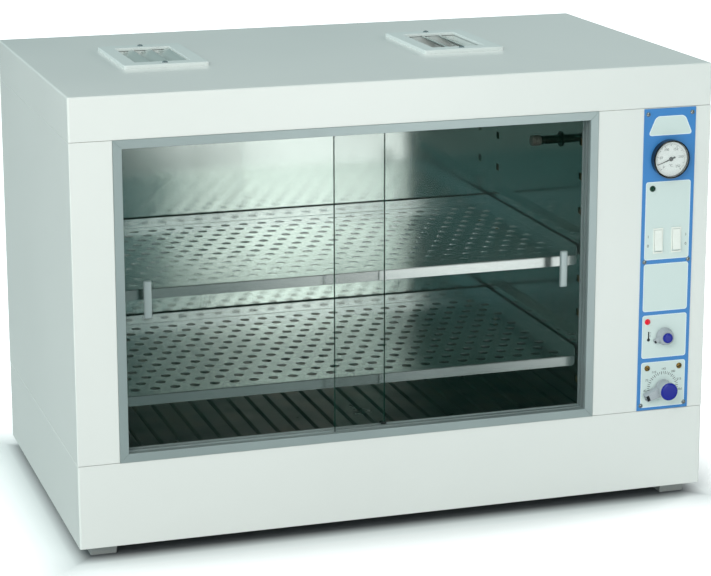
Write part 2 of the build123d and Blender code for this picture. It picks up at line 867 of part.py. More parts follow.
# Perforated shelves: a folded tray with three upstands and a lip turned down at the front
shelf_left = wall_left + shelf_side_gap
shelf_width = chamber_width - 2 * shelf_side_gap
shelf_front = behind(shelf_front_depth)
shelf_depth = wall_back - shelf_back_gap - shelf_front
hole_step = 2 * hole_pitch
hole_columns = int((shelf_width - 2 * hole_margin) / hole_step)
hole_rows = int((shelf_depth - 2 * hole_margin) / hole_step)
for shelf_name, shelf_z in shelf_levels.items():
    with BuildPart() as shelf:
        with BuildSketch(Plane.XZ.offset(-shelf_front)):
            with Locations((chamber_middle, shelf_z - shelf_sheet)):
                Rectangle(shelf_width, shelf_upstand + shelf_sheet, align=(Align.CENTER, Align.MIN))
            with Locations((chamber_middle, shelf_z)):
                Rectangle(
                    shelf_width - 2 * shelf_sheet,
                    shelf_upstand,
                    align=(Align.CENTER, Align.MIN),
                    mode=Mode.SUBTRACT,
                )
        extrude(amount=-shelf_depth)
        with BuildSketch(Plane.XZ.offset(-shelf_front - shelf_depth)):
            with Locations((chamber_middle, shelf_z - shelf_sheet)):
                Rectangle(shelf_width, shelf_upstand + shelf_sheet, align=(Align.CENTER, Align.MIN))
        extrude(amount=shelf_sheet)
        front_corners = shelf.edges().filter_by(Axis.X).group_by(Axis.Z)[-1].group_by(Axis.Y)[0]
        fillet(front_corners, shelf_corner)
        with BuildSketch(Plane.XZ.offset(-shelf_front)) as front_lip:
            with Locations((chamber_middle, shelf_z)):
                Rectangle(shelf_width, shelf_lip, align=(Align.CENTER, Align.MAX))
            fillet(front_lip.vertices().group_by(Axis.Z)[0], shelf_corner)
        extrude(amount=-shelf_sheet)
        with BuildSketch(Plane.XY.offset(shelf_z)):
            with Locations((chamber_middle, shelf_front + shelf_depth / 2)):
                with GridLocations(hole_step, hole_step, hole_columns, hole_rows + 1):
                    polygon(hole_sides, hole_diameter / 2)
                with GridLocations(hole_step, hole_step, hole_columns + 1, hole_rows):
                    polygon(hole_sides, hole_diameter / 2)
        extrude(amount=-shelf_sheet, mode=Mode.SUBTRACT)
    save(shelf.part, f"{shelf_name}_shelf")


# Floor plate with pressed grooves from front to back
plate_left = wall_left + floor_plate_gap
plate_width = chamber_width - 2 * floor_plate_gap
groove_count = int((plate_width - 2 * ledge_width) / groove_pitch)
first_groove = chamber_middle - groove_pitch * (groove_count - 1) / 2


def groove_line(surface_z):
    """The upper or lower outline of the plate, from left to right."""
    points = [(plate_left, surface_z)]
    for index in range(groove_count):
        groove_x = first_groove + index * groove_pitch
        points.append((groove_x - groove_width / 2, surface_z))
        points.append((groove_x, surface_z - groove_depth))
        points.append((groove_x + groove_width / 2, surface_z))
    points.append((plate_left + plate_width, surface_z))
    return points


with BuildPart() as floor_plate:
    with BuildSketch(Plane.XZ.offset(-liner_front - 2 * liner_sheet)):
        with BuildLine():
            Polyline(*groove_line(floor_plate_z), *reversed(groove_line(ledge_top)), close=True)
        make_face()
    extrude(amount=-(liner_depth - 3 * liner_sheet))
save(floor_plate.part, "floor_plate")


# Tubular heaters: two hairpins that enter through the right wall
with BuildPart() as heating_elements:
    for heater_y in heater_ys:
        start_x = wall_right + heater_terminal
        bend_x = wall_left + heater_end_gap
        with BuildLine() as heater_path:
            near_run = Line(
                (start_x, heater_y - heater_bend_radius, heater_z),
                (bend_x, heater_y - heater_bend_radius, heater_z),
            )
            bend = TangentArc(
                near_run @ 1,
                (bend_x, heater_y + heater_bend_radius, heater_z),
                tangent=near_run % 1,
            )
            Line(bend @ 1, (start_x, heater_y + heater_bend_radius, heater_z))
        with BuildSketch(Plane(near_run @ 0, x_dir=(0, 1, 0), z_dir=near_run % 0)):
            polygon(stem_sides, heater_diameter / 2)
        sweep(path=heater_path.line)
    with BuildSketch(Plane.YZ.offset(wall_right - heater_flange_thickness)):
        with Locations(*heater_rods):
            polygon(flange_sides, heater_flange_diameter / 2)
    extrude(amount=heater_flange_thickness)
save(heating_elements.part, "heating_elements")


# Roof vents, drawn about their own middle and then put in place
vent_top = vent_thickness
pivot_level = vent_top - pivot_below_top
blade_pitch = vent_opening_width / blade_count
blade_length = vent_opening_length - 2 * blade_end_gap
blade_places = [blade_pitch * (index - (blade_count - 1) / 2) for index in range(blade_count)]
crank_y = blade_length / 2 - crank_from_end
half_chord = blade_chord / 2

with BuildPart() as vent_frame:
    with BuildSketch():
        Rectangle(vent_width, vent_length)
    extrude(amount=vent_thickness)
    chamfer(vent_frame.edges().filter_by(Axis.Z), vent_corner)
    chamfer(vent_frame.faces().sort_by(Axis.Z)[-1].edges(), vent_edge)
    with BuildSketch(Plane.XY.offset(vent_top - vent_skirt_depth)):
        Rectangle(
            vent_opening_width + 2 * vent_skirt_wall,
            vent_opening_length + 2 * vent_skirt_wall,
        )
    extrude(amount=vent_skirt_depth - vent_thickness)
    with BuildSketch(Plane.XY.offset(vent_top - vent_skirt_depth)):
        Rectangle(vent_opening_width, vent_opening_length)
    extrude(amount=vent_skirt_depth, mode=Mode.SUBTRACT)
    with BuildSketch():
        with GridLocations(0, 2 * vent_screw_offset, 1, 2):
            Rectangle(screw_hole, screw_hole)
    extrude(amount=vent_thickness, mode=Mode.SUBTRACT)
    with BuildSketch(Plane.XZ.offset(-vent_length / 2)):
        with Locations(*[(x, pivot_level) for x in blade_places]):
            around(pin_sides, pivot_pin_radius + pin_clearance)
    extrude(
        amount=vent_length / 2 + vent_opening_length / 2 + vent_skirt_wall,
        mode=Mode.SUBTRACT,
    )
vent_frame_solid = vent_frame.part

with BuildPart() as vent_blade:
    with BuildSketch(Plane.XZ.offset(-blade_length / 2)):
        with BuildLine():
            ThreePointArc((-half_chord, -blade_sagitta), (0, 0), (half_chord, -blade_sagitta))
            offset(amount=blade_sheet, side=Side.RIGHT)
        make_face()
    extrude(amount=blade_length)
    for end in (-1, 1):
        with BuildSketch(Plane.XZ.offset(end * (blade_length / 2 - pivot_pin_root))):
            polygon(pin_sides, pivot_pin_radius)
        extrude(amount=end * (pivot_pin_root + pivot_pin_length))
    with BuildSketch(Plane.XZ.offset(-crank_y)):
        with Locations(Rotation(0, 0, -blade_rest_tilt)):
            with Locations((0, -crank_length / 2)):
                Rectangle(crank_width, crank_length + crank_width)
    extrude(amount=crank_thickness)
    with BuildSketch(Plane.XZ.offset(-crank_y)):
        with Locations(Rotation(0, 0, -blade_rest_tilt)):
            with Locations((0, -crank_length)):
                polygon(pin_sides, crank_pin_radius)
    extrude(amount=-crank_pin_length)
blade_solid = vent_blade.part

with BuildPart() as tie_bar:
    with BuildSketch(Plane.XZ.offset(-crank_y - tie_bar_gap)):
        Rectangle(blade_pitch * (blade_count - 1) + tie_bar_height, tie_bar_height)
        with Locations(*[(x, 0) for x in blade_places]):
            around(pin_sides, crank_pin_radius + pin_clearance, Mode.SUBTRACT)
    extrude(amount=-tie_bar_thickness)
tie_bar_solid = tie_bar.part

# The right vent is the left one turned half round
for side, turn in (("left", 0), ("right", 180)):
    vent_place = Pos(vent_centres[side], vent_y, top_z) * Rot(0, 0, turn)
    save(vent_place * vent_frame_solid, f"{side}_vent_frame")
    for index, blade_x in enumerate(blade_places):
        blade_place = vent_place * Pos(blade_x, 0, pivot_level) * Rot(0, -blade_rest_tilt, 0)
        save(blade_place * blade_solid, f"{side}_vent_blade_{index + 1}")
    save(vent_place * Pos(0, 0, pivot_level - crank_length) * tie_bar_solid, f"{side}_vent_tie_bar")


# Ducts from the chamber's ceiling up to the vents
duct_bottom = ceiling_z + liner_sheet
duct_top = top_z + vent_top - vent_skirt_depth
with BuildPart() as vent_ducts:
    with BuildSketch(Plane.XY.offset(duct_bottom)):
        with Locations(*[(x, vent_y) for x in vent_centres.values()]):
            Rectangle(duct_outer_width, duct_outer_length)
            Rectangle(vent_opening_width, vent_opening_length, mode=Mode.SUBTRACT)
    extrude(amount=duct_top - duct_bottom)
save(vent_ducts.part, "vent_ducts")


# Screws of the vents and of the back
def screw(plane, head_diameter, head_height, shank_diameter, shank_length):
    """A pan-head screw whose head stands on the plane and whose shank goes through it."""
    with BuildSketch(plane) as head:
        polygon(pin_sides, head_diameter / 2)
    extrude(head.sketch, amount=head_height, taper=screw_head_taper)
    with BuildSketch(plane) as shank:
        Rectangle(shank_diameter, shank_diameter)
    extrude(shank.sketch, amount=-shank_length)


with BuildPart() as casing_screws:
    for vent_x in vent_centres.values():
        for screw_y in (vent_y - vent_screw_offset, vent_y + vent_screw_offset):
            screw(
                Plane((vent_x, screw_y, top_z + vent_top)),
                screw_head_diameter,
                screw_head_height,
                screw_shank_diameter,
                vent_screw_length,
            )
    for screw_x in (-back_screw_x, back_screw_x):
        for row in range(back_screw_rows):
            screw_z = panel_bottom + back_screw_pitch * (row + 1 / 2)
            screw(
                Plane((screw_x, back_y, screw_z), z_dir=(0, 1, 0)),
                screw_head_diameter,
                screw_head_height,
                screw_shank_diameter,
                back_screw_length,
            )
save(casing_screws.part, "casing_screws")


# Screws of the control plate
plate_front_y = behind(-control_plate_sheet)
with BuildPart() as plate_screws:
    for screw_z in plate_screw_zs:
        for screw_x in (control_x - plate_screw_x, control_x + plate_screw_x):
            screw(
                Plane((screw_x, plate_front_y, screw_z), z_dir=(0, -1, 0)),
                plate_screw_diameter,
                plate_screw_height,
                plate_screw_shank,
                plate_screw_length,
            )
save(plate_screws.part, "plate_screws")

with BuildPart() as brass_screws:
    for screw_x in (control_x - brass_screw_spacing / 2, control_x + brass_screw_spacing / 2):
        screw(
            Plane((screw_x, plate_front_y, brass_screw_z), z_dir=(0, -1, 0)),
            brass_screw_diameter,
            brass_screw_height,
            brass_screw_shank,
            brass_screw_length,
        )
save(brass_screws.part, "brass_screws")


# Dial thermometer: case, dial, needle and glass
bezel_front = -control_plate_sheet - bezel_depth
recess_radius = bezel_diameter / 2 - bezel_rim
dial_front = bezel_front + dial_depth
needle_back = dial_front - needle_lift
with BuildPart() as thermometer_case:
    with BuildSketch(facing(-control_plate_sheet)):
        with Locations(thermometer_place):
            polygon(round_sides, bezel_diameter / 2)
    extrude(amount=bezel_depth)
    with BuildSketch(facing(-control_plate_sheet)):
        with Locations(thermometer_place):
            polygon(round_sides, case_diameter / 2)
    extrude(amount=-case_depth)
    with BuildSketch(facing(bezel_front)):
        with Locations(thermometer_place):
            polygon(round_sides, recess_radius)
    extrude(amount=-lens_recess - lens_thickness, mode=Mode.SUBTRACT)
    with BuildSketch(facing(bezel_front)):
        with Locations(thermometer_place):
            polygon(round_sides, recess_radius - lens_seat)
    extrude(amount=-dial_depth - dial_thickness, mode=Mode.SUBTRACT)
    with BuildSketch(facing(dial_front)):
        with Locations(thermometer_place):
            around(pin_sides, spindle_radius + spindle_clearance)
    extrude(amount=-spindle_length - dial_thickness, mode=Mode.SUBTRACT)
save(thermometer_case.part, "thermometer_case")

with BuildPart() as thermometer_dial:
    with BuildSketch(facing(dial_front)):
        with Locations(thermometer_place):
            polygon(round_sides, recess_radius - lens_seat - lens_clearance)
            around(pin_sides, 2 * spindle_radius, Mode.SUBTRACT)
    extrude(amount=-dial_thickness)
save(thermometer_dial.part, "thermometer_dial")

with BuildPart() as thermometer_needle:
    with BuildSketch(facing(needle_back)):
        with Locations(thermometer_place):
            polygon(flange_sides, needle_hub_radius)
            with Locations(Rotation(0, 0, -needle_rest_angle)):
                Polygon(
                    (-needle_width / 2, 0),
                    (needle_width / 2, 0),
                    (needle_tip / 2, needle_length),
                    (-needle_tip / 2, needle_length),
                    align=None,
                )
                with Locations((0, -needle_tail / 2)):
                    Rectangle(needle_width, needle_tail)
    extrude(amount=needle_thickness)
    with BuildSketch(facing(needle_back)):
        with Locations(thermometer_place):
            polygon(pin_sides, spindle_radius)
    extrude(amount=-needle_lift - spindle_length)
save(thermometer_needle.part, "thermometer_needle")

with BuildPart() as thermometer_lens:
    with BuildSketch(facing(bezel_front + lens_recess)):
        with Locations(thermometer_place):
            polygon(round_sides, recess_radius - lens_clearance)
    extrude(amount=-lens_thickness)
save(thermometer_lens.part, "thermometer_lens")


# Pilot lamps
for colour, lamp_place in lamp_places.items():
    with BuildPart() as pilot_lamp:
        with BuildSketch(facing(-control_plate_sheet)):
            with Locations(lamp_place):
                polygon(flange_sides, lamp_lens_diameter / 2)
        extrude(amount=lamp_reach, taper=lamp_taper)
        with BuildSketch(facing(-control_plate_sheet)):
            with Locations(lamp_place):
                polygon(flange_sides, lamp_flange_diameter / 2)
        extrude(amount=lamp_flange_thickness)
        with BuildSketch(facing(-control_plate_sheet)):
            with Locations(lamp_place):
                polygon(pin_sides, lamp_barrel_diameter / 2)
        extrude(amount=-lamp_barrel_length)
    save(pilot_lamp.part, f"{colour}_pilot_lamp")


# Rocker switches, pressed at the top
for side, switch_middle in switch_middles.items():
    pivot_y = behind(rocker_pivot_depth)
    with BuildPart() as switch_housing:
        with BuildSketch(facing(-control_plate_sheet)):
            with Locations((switch_middle, switch_z)):
                Rectangle(switch_width, switch_height)
        extrude(amount=switch_bezel)
        with BuildSketch(facing(-control_plate_sheet)):
            with Locations((switch_middle, switch_z)):
                Rectangle(switch_body_width, switch_body_height)
        extrude(amount=-switch_body_depth)
        with BuildSketch(facing(-control_plate_sheet - switch_bezel)):
            with Locations((switch_middle, switch_z)):
                Rectangle(rocker_width + 2 * rocker_side_gap, rocker_height + 2 * rocker_end_gap)
        extrude(amount=-rocker_well, mode=Mode.SUBTRACT)
        with BuildSketch(Plane.YZ.offset(switch_middle - switch_body_width / 2)):
            with Locations((pivot_y, switch_z)):
                around(pin_sides, rocker_pin_radius + rocker_pin_clearance)
        extrude(amount=switch_body_width, mode=Mode.SUBTRACT)
    save(switch_housing.part, f"{side}_switch_housing")

    # The rocker's side view about its pivot: a shallow vee in front, a heel behind
    rocker_front = rocker_pivot_depth + control_plate_sheet + switch_bezel + rocker_proud
    end_rise = rocker_height / 2 * tan(radians(rocker_swing))
    with BuildPart() as switch_rocker:
        with BuildSketch(Plane.YZ.offset(switch_middle - rocker_width / 2)):
            with Locations((pivot_y, switch_z)):
                with Locations(Rotation(0, 0, -rocker_swing)):
                    Polygon(
                        (-rocker_front, 0),
                        (-rocker_front - end_rise, rocker_height / 2),
                        (-rocker_front - end_rise + rocker_end_thickness, rocker_height / 2),
                        (rocker_heel, rocker_heel_half),
                        (rocker_heel, -rocker_heel_half),
                        (-rocker_front - end_rise + rocker_end_thickness, -rocker_height / 2),
                        (-rocker_front - end_rise, -rocker_height / 2),
                        align=None,
                    )
        extrude(amount=rocker_width)
        with BuildSketch(Plane.YZ.offset(switch_middle - rocker_width / 2 - rocker_pin_length)):
            with Locations((pivot_y, switch_z)):
                polygon(pin_sides, rocker_pin_radius)
        extrude(amount=rocker_width + 2 * rocker_pin_length)
    save(switch_rocker.part, f"{side}_switch_rocker")


# Thermostat and limit thermostat: mechanism, shaft, knob and cap
knob_back = -control_plate_sheet - knob_panel_gap


def shaft_piece(depth, shaft_z, radius, amount, mode):
    """The eight-sided shaft, or the bore round it, from this depth towards the front."""
    with BuildSketch(facing(depth)) as outline:
        with Locations((control_x, shaft_z)):
            RegularPolygon(radius, pin_sides)
    extrude(outline.sketch, amount=amount, mode=mode)


def mechanism(shaft_z):
    """A capillary thermostat behind the plate, with a blind bore for its shaft."""
    with BuildSketch(facing(0)) as housing:
        with Locations((control_x, shaft_z)):
            Rectangle(mechanism_side, mechanism_side)
    extrude(housing.sketch, amount=-mechanism_depth)
    shaft_piece(0, shaft_z, shaft_diameter / 2 + shaft_clearance, -shaft_inside, Mode.SUBTRACT)


def control_shaft(shaft_z):
    """The shaft that the knob turns, from inside the mechanism into the knob's socket."""
    shaft_front = knob_back - knob_socket + shaft_end_gap
    shaft_back = shaft_inside - shaft_end_gap
    shaft_piece(shaft_front, shaft_z, shaft_diameter / 2, shaft_front - shaft_back, Mode.ADD)


def pointer_knob(shaft_z, base, front, length, pointer):
    """A tapered knob with a pointer at its side and a socket for the shaft."""
    reach, root, tip, height = pointer
    with BuildSketch(facing(knob_back)) as base_disc:
        with Locations((control_x, shaft_z)):
            polygon(round_sides, base / 2)
    with BuildSketch(facing(knob_back - length)) as front_disc:
        with Locations((control_x, shaft_z)):
            polygon(round_sides, front / 2)
    loft([base_disc.sketch, front_disc.sketch])
    with BuildSketch(facing(knob_back)) as pointer_shape:
        with Locations((control_x, shaft_z)):
            with Locations(Rotation(0, 0, -knob_rest_angle)):
                Polygon(
                    (-root / 2, 0),
                    (root / 2, 0),
                    (tip / 2, reach),
                    (-tip / 2, reach),
                    align=None,
                )
    extrude(pointer_shape.sketch, amount=height)
    socket_radius = shaft_diameter / 2 + socket_clearance
    shaft_piece(knob_back, shaft_z, socket_radius, knob_socket, Mode.SUBTRACT)


def knob_cap(shaft_z, knob_length, diameter, thickness):
    """The coloured cap on the front of a knob."""
    with BuildSketch(facing(knob_back - knob_length)) as disc:
        with Locations((control_x, shaft_z)):
            polygon(round_sides, diameter / 2)
    extrude(disc.sketch, amount=thickness, taper=cap_taper)


with BuildPart() as thermostat_body:
    mechanism(thermostat_z)
    with BuildSketch(facing(0)):
        with Locations((control_x, thermostat_z + mechanism_side / 2)):
            Rectangle(
                brass_screw_spacing + 2 * bracket_margin,
                brass_screw_rise + bracket_margin - mechanism_side / 2,
                align=(Align.CENTER, Align.MIN),
            )
        with Locations((control_x, brass_screw_z)):
            with GridLocations(brass_screw_spacing, 0, 2, 1):
                Rectangle(brass_screw_hole, brass_screw_hole, mode=Mode.SUBTRACT)
    extrude(amount=-bracket_sheet)
save(thermostat_body.part, "thermostat_body")

with BuildPart() as thermostat_shaft:
    control_shaft(thermostat_z)
save(thermostat_shaft.part, "thermostat_shaft")

with BuildPart() as thermostat_knob:
    pointer_knob(
        thermostat_z,
        thermostat_knob_base,
        thermostat_knob_front,
        thermostat_knob_length,
        thermostat_pointer,
    )
save(thermostat_knob.part, "thermostat_knob")

with BuildPart() as thermostat_knob_cap:
    knob_cap(
        thermostat_z,
        thermostat_knob_length,
        thermostat_cap_diameter,
        thermostat_cap_thickness,
    )
save(thermostat_knob_cap.part, "thermostat_knob_cap")

with BuildPart() as limiter_body:
    mechanism(limiter_z)
save(limiter_body.part, "limiter_body")

with BuildPart() as limiter_shaft:
    control_shaft(limiter_z)
save(limiter_shaft.part, "limiter_shaft")

with BuildPart() as limiter_knob:
    pointer_knob(
        limiter_z,
        limiter_knob_base,
        limiter_knob_front,
        limiter_knob_length,
        limiter_pointer,
    )
save(limiter_knob.part, "limiter_knob")

with BuildPart() as limiter_knob_cap:
    knob_cap(limiter_z, limiter_knob_length, limiter_cap_diameter, limiter_cap_thickness)
save(limiter_knob_cap.part, "limiter_knob_cap")


# Sensor: a socket on the chamber's right wall and the bulb whose stem runs through it
with BuildPart() as sensor_socket:
    with BuildSketch(Plane.YZ.offset(wall_right)):
        with Locations((sensor_y, sensor_z)):
            polygon(flange_sides, sensor_flange_diameter / 2)
    extrude(amount=-sensor_flange_thickness)
    with BuildSketch(Plane.YZ.offset(wall_right)):
        with Locations((sensor_y, sensor_z)):
            polygon(flange_sides, sensor_socket_diameter / 2)
    extrude(amount=-sensor_socket_length)
    with BuildSketch(Plane.YZ.offset(wall_right)):
        with Locations((sensor_y, sensor_z)):
            polygon(stem_sides, sensor_stem_diameter / 2 + sensor_clearance)
    extrude(amount=-sensor_socket_length, mode=Mode.SUBTRACT)
save(sensor_socket.part, "sensor_socket")

with BuildPart() as sensor_bulb:
    with BuildSketch(Plane.YZ.offset(wall_right - sensor_socket_length)):
        with Locations((sensor_y, sensor_z)):
            polygon(flange_sides, sensor_bulb_diameter / 2)
    extrude(amount=-sensor_bulb_length)
    with BuildSketch(Plane.YZ.offset(wall_right - sensor_socket_length)):
        with Locations((sensor_y, sensor_z)):
            polygon(stem_sides, sensor_stem_diameter / 2)
    extrude(amount=sensor_socket_length + liner_sheet + sensor_tail)
save(sensor_bulb.part, "sensor_bulb")


# Terminal block on the plinth's floor, inside the control compartment
terminal_place = (right_x - terminal_right_inset, back_y - terminal_back_inset)
terminal_pitch = terminal_length / terminal_poles
with BuildPart() as terminal_block:
    with BuildSketch(Plane.XY.offset(base_z + sheet)):
        with Locations(terminal_place):
            Rectangle(terminal_length, terminal_width)
    extrude(amount=terminal_height)
    with BuildSketch(Plane.XY.offset(base_z + sheet + terminal_height)):
        with Locations(terminal_place):
            with GridLocations(terminal_pitch, terminal_width / 2, terminal_poles, 2):
                Rectangle(terminal_screw_diameter, terminal_screw_diameter)
    extrude(amount=-terminal_screw_depth, mode=Mode.SUBTRACT)
save(terminal_block.part, "terminal_block")


# Cable gland clamped through the back panel
gland_face_y = back_y - sheet
with BuildPart() as cable_gland:
    with BuildSketch(Plane.XZ.offset(-gland_face_y)):
        with Locations(gland_place):
            RegularPolygon(gland_hex / 2, 6, major_radius=False)
    extrude(amount=-gland_hex_thickness)
    with BuildSketch(Plane.XZ.offset(-gland_face_y)):
        with Locations(gland_place):
            polygon(flange_sides, gland_dome_diameter / 2)
    extrude(amount=-gland_hex_thickness - gland_dome_length, taper=gland_taper)
    with BuildSketch(Plane.XZ.offset(-gland_face_y)):
        with Locations(gland_place):
            polygon(flange_sides, gland_thread / 2)
    extrude(amount=sheet + gland_inside)
    with BuildSketch(Plane.XZ.offset(-gland_face_y + sheet)):
        with Locations(gland_place):
            RegularPolygon(gland_hex / 2, 6, major_radius=False)
    extrude(amount=gland_nut_thickness)
    with BuildSketch(Plane.XZ.offset(-gland_face_y + sheet + gland_inside)):
        with Locations(gland_place):
            Circle(gland_bore / 2)
    extrude(
        amount=-(sheet + gland_inside + gland_hex_thickness + gland_dome_length),
        mode=Mode.SUBTRACT,
    )
save(cable_gland.part, "cable_gland")
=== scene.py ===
"""Dresses the glassware drying oven: enamelled casing, framed sliding panes, stainless chamber,
round-holed shelves, roof vents with curved blades and the column of controls."""
import json
from math import cos, pi, radians, sin

import bmesh
import bpy
from bpy.props import FloatProperty, FloatVectorProperty, IntProperty, PointerProperty
from mathutils import Matrix, Vector

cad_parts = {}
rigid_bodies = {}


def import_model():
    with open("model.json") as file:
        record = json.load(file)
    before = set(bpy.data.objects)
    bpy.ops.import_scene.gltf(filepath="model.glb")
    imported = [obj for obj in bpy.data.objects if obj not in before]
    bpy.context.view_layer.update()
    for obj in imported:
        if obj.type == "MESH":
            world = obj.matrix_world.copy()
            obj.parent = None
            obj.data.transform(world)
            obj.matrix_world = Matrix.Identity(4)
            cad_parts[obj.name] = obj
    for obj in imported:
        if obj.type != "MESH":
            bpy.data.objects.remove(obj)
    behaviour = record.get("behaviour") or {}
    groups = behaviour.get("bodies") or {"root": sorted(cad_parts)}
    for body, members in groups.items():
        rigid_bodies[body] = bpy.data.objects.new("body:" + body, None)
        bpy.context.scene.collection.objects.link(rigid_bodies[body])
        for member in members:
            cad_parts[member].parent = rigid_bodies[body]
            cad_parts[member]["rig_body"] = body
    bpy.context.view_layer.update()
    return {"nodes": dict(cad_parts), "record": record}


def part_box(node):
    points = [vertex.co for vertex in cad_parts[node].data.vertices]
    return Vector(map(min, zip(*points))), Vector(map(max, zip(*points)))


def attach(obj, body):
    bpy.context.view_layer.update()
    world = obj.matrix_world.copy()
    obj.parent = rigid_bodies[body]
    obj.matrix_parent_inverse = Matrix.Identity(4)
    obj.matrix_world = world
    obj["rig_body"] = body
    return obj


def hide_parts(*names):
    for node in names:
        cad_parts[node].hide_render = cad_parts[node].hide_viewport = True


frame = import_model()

bl_info = {
    "name": "Glassware drying oven",
    "version": (1, 0, 0),
    "blender": (4, 5, 0),
    "location": "3D View > Sidebar > Oven",
    "description": "Builds the finished pieces of a glassware drying oven on its packed frame",
    "category": "Object",
}

NODES = frame["nodes"]
SIDES = ("left", "right")
LEVELS = ("upper", "lower")
# Beside a face this many times smaller, a large flat face is shaded with a sharp edge
FLAT_RATIO = 25.0
FLAT_ANGLE = radians(2.0)
WELD = 0.00001
# Outputs of the Light Path, Texture Coordinate and Geometry nodes
SEEN, MIRRORED = 0, 3
GENERATED_PLACE, OBJECT_PLACE = 0, 3
FACING = 1


# Sizes and colours that a user would change
def length(label, description, default):
    """A length property in metres."""
    return FloatProperty(
        name=label, description=description, default=default, min=0.0, unit="LENGTH", precision=5
    )


def colour(label, description, default):
    """A colour property in linear values."""
    return FloatVectorProperty(
        name=label, description=description, default=default, size=3, min=0.0, max=1.0, subtype="COLOR"
    )


class OvenSizes(bpy.types.PropertyGroup):
    """Sizes of the finished pieces."""

    edge_radius: length("Edge radius", "Rounding of the casing's folded edges", 0.0012)
    rail_edge: length("Rail edge", "Rounding of the aluminium rails", 0.0005)
    hole_diameter: length("Hole diameter", "Diameter of the shelves' round holes", 0.0155)
    hole_pitch: length("Hole pitch", "Distance between neighbouring holes of a row", 0.0305)
    hole_margin: length("Hole margin", "Unpierced border round the holes", 0.014)
    hole_sides: IntProperty(
        name="Hole sides", description="Sides of each round hole", default=16, min=8, max=48
    )
    turning_steps: IntProperty(
        name="Turning steps", description="Steps of a turned piece", default=64, min=16, max=128
    )
    print_height: length("Print height", "How far printed marks stand on the plate", 0.00006)
    field_height: length("Field height", "How far the pale fields stand on the plate", 0.00012)


class OvenColours(bpy.types.PropertyGroup):
    """Colours of the finishes."""

    casing: colour("Casing", "Enamel of the casing", (0.79, 0.795, 0.77))
    vents: colour("Vents", "Enamel of the vent frames", (0.76, 0.80, 0.78))
    # The blades' enamel is much darker than the vent frames' as painted shade between the blades
    blades: colour("Blades", "Enamel of the vent blades", (0.44, 0.49, 0.47))
    plate: colour("Control plate", "Blue enamel of the control plate", (0.050, 0.235, 0.58))
    fields: colour("Fields", "Pale fields on the control plate", (0.66, 0.75, 0.73))
    outlines: colour("Outlines", "Outlines of the fields", (0.84, 0.93, 0.95))
    chamber: colour("Chamber", "Stainless sheet of the chamber", (0.70, 0.78, 0.73))
    shelves: colour("Shelves", "Stainless sheet of the shelves", (0.84, 0.90, 0.87))
    rails: colour("Rails", "Anodised aluminium of the window frame", (0.58, 0.66, 0.66))
    caps: colour("Caps", "Caps of the knobs", (0.010, 0.016, 0.30))
    knobs: colour("Knobs", "Skirts of the knobs", (0.42, 0.45, 0.48))


def sizes():
    """The sizes set on the scene."""
    return bpy.context.scene.oven_sizes


def colours():
    """The colours set on the scene."""
    return bpy.context.scene.oven_colours


# Shader maths
class Wire:
    """An output socket, on which sums are written as on numbers."""

    def __init__(self, finish, socket):
        self.finish = finish
        self.socket = socket

    def maths(self, operation, *values):
        """A Math node on these values."""
        inputs = dict(enumerate(values))
        return self.finish.node("ShaderNodeMath", {"operation": operation}, inputs)

    def __add__(self, other):
        return self.maths("ADD", self, other)

    __radd__ = __add__

    def __sub__(self, other):
        return self.maths("SUBTRACT", self, other)

    def __rsub__(self, other):
        return self.maths("SUBTRACT", other, self)

    def __mul__(self, other):
        return self.maths("MULTIPLY", self, other)

    __rmul__ = __mul__

    def __gt__(self, other):
        return self.maths("GREATER_THAN", self, other)


class Nodes:
    """The nodes of a material or a world."""

    def __init__(self, tree):
        self.tree = tree

    def node(self, kind, settings=None, inputs=None, output=0):
        """A node with its settings made first, then its sockets filled or linked."""
        made = self.tree.nodes.new(kind)
        for key, value in (settings or {}).items():
            setattr(made, key, value)
        for key, value in (inputs or {}).items():
            self.fill(made.inputs[key], value)
        return Wire(self, made.outputs[output])

    def fill(self, socket, value):
        """Fills or links one input socket."""
        if isinstance(value, Wire):
            self.tree.links.new(value.socket, socket)
        else:
            socket.default_value = value

    def ranged(self, value, start, end=(0.0, 1.0)):
        """A value led from one range to another and held at its ends."""
        limits = {"From Min": start[0], "From Max": start[1], "To Min": end[0], "To Max": end[1]}
        return self.node("ShaderNodeMapRange", inputs={"Value": value, **limits})

    def between(self, mask, first, second):
        """A colour that goes from the first to the second as the mask goes from 0 to 1."""
        start = first if isinstance(first, Wire) else (*first, 1.0)
        inputs = {0: mask, 6: start, 7: (*second, 1.0)}
        return self.node("ShaderNodeMix", {"data_type": "RGBA"}, inputs, output=2)


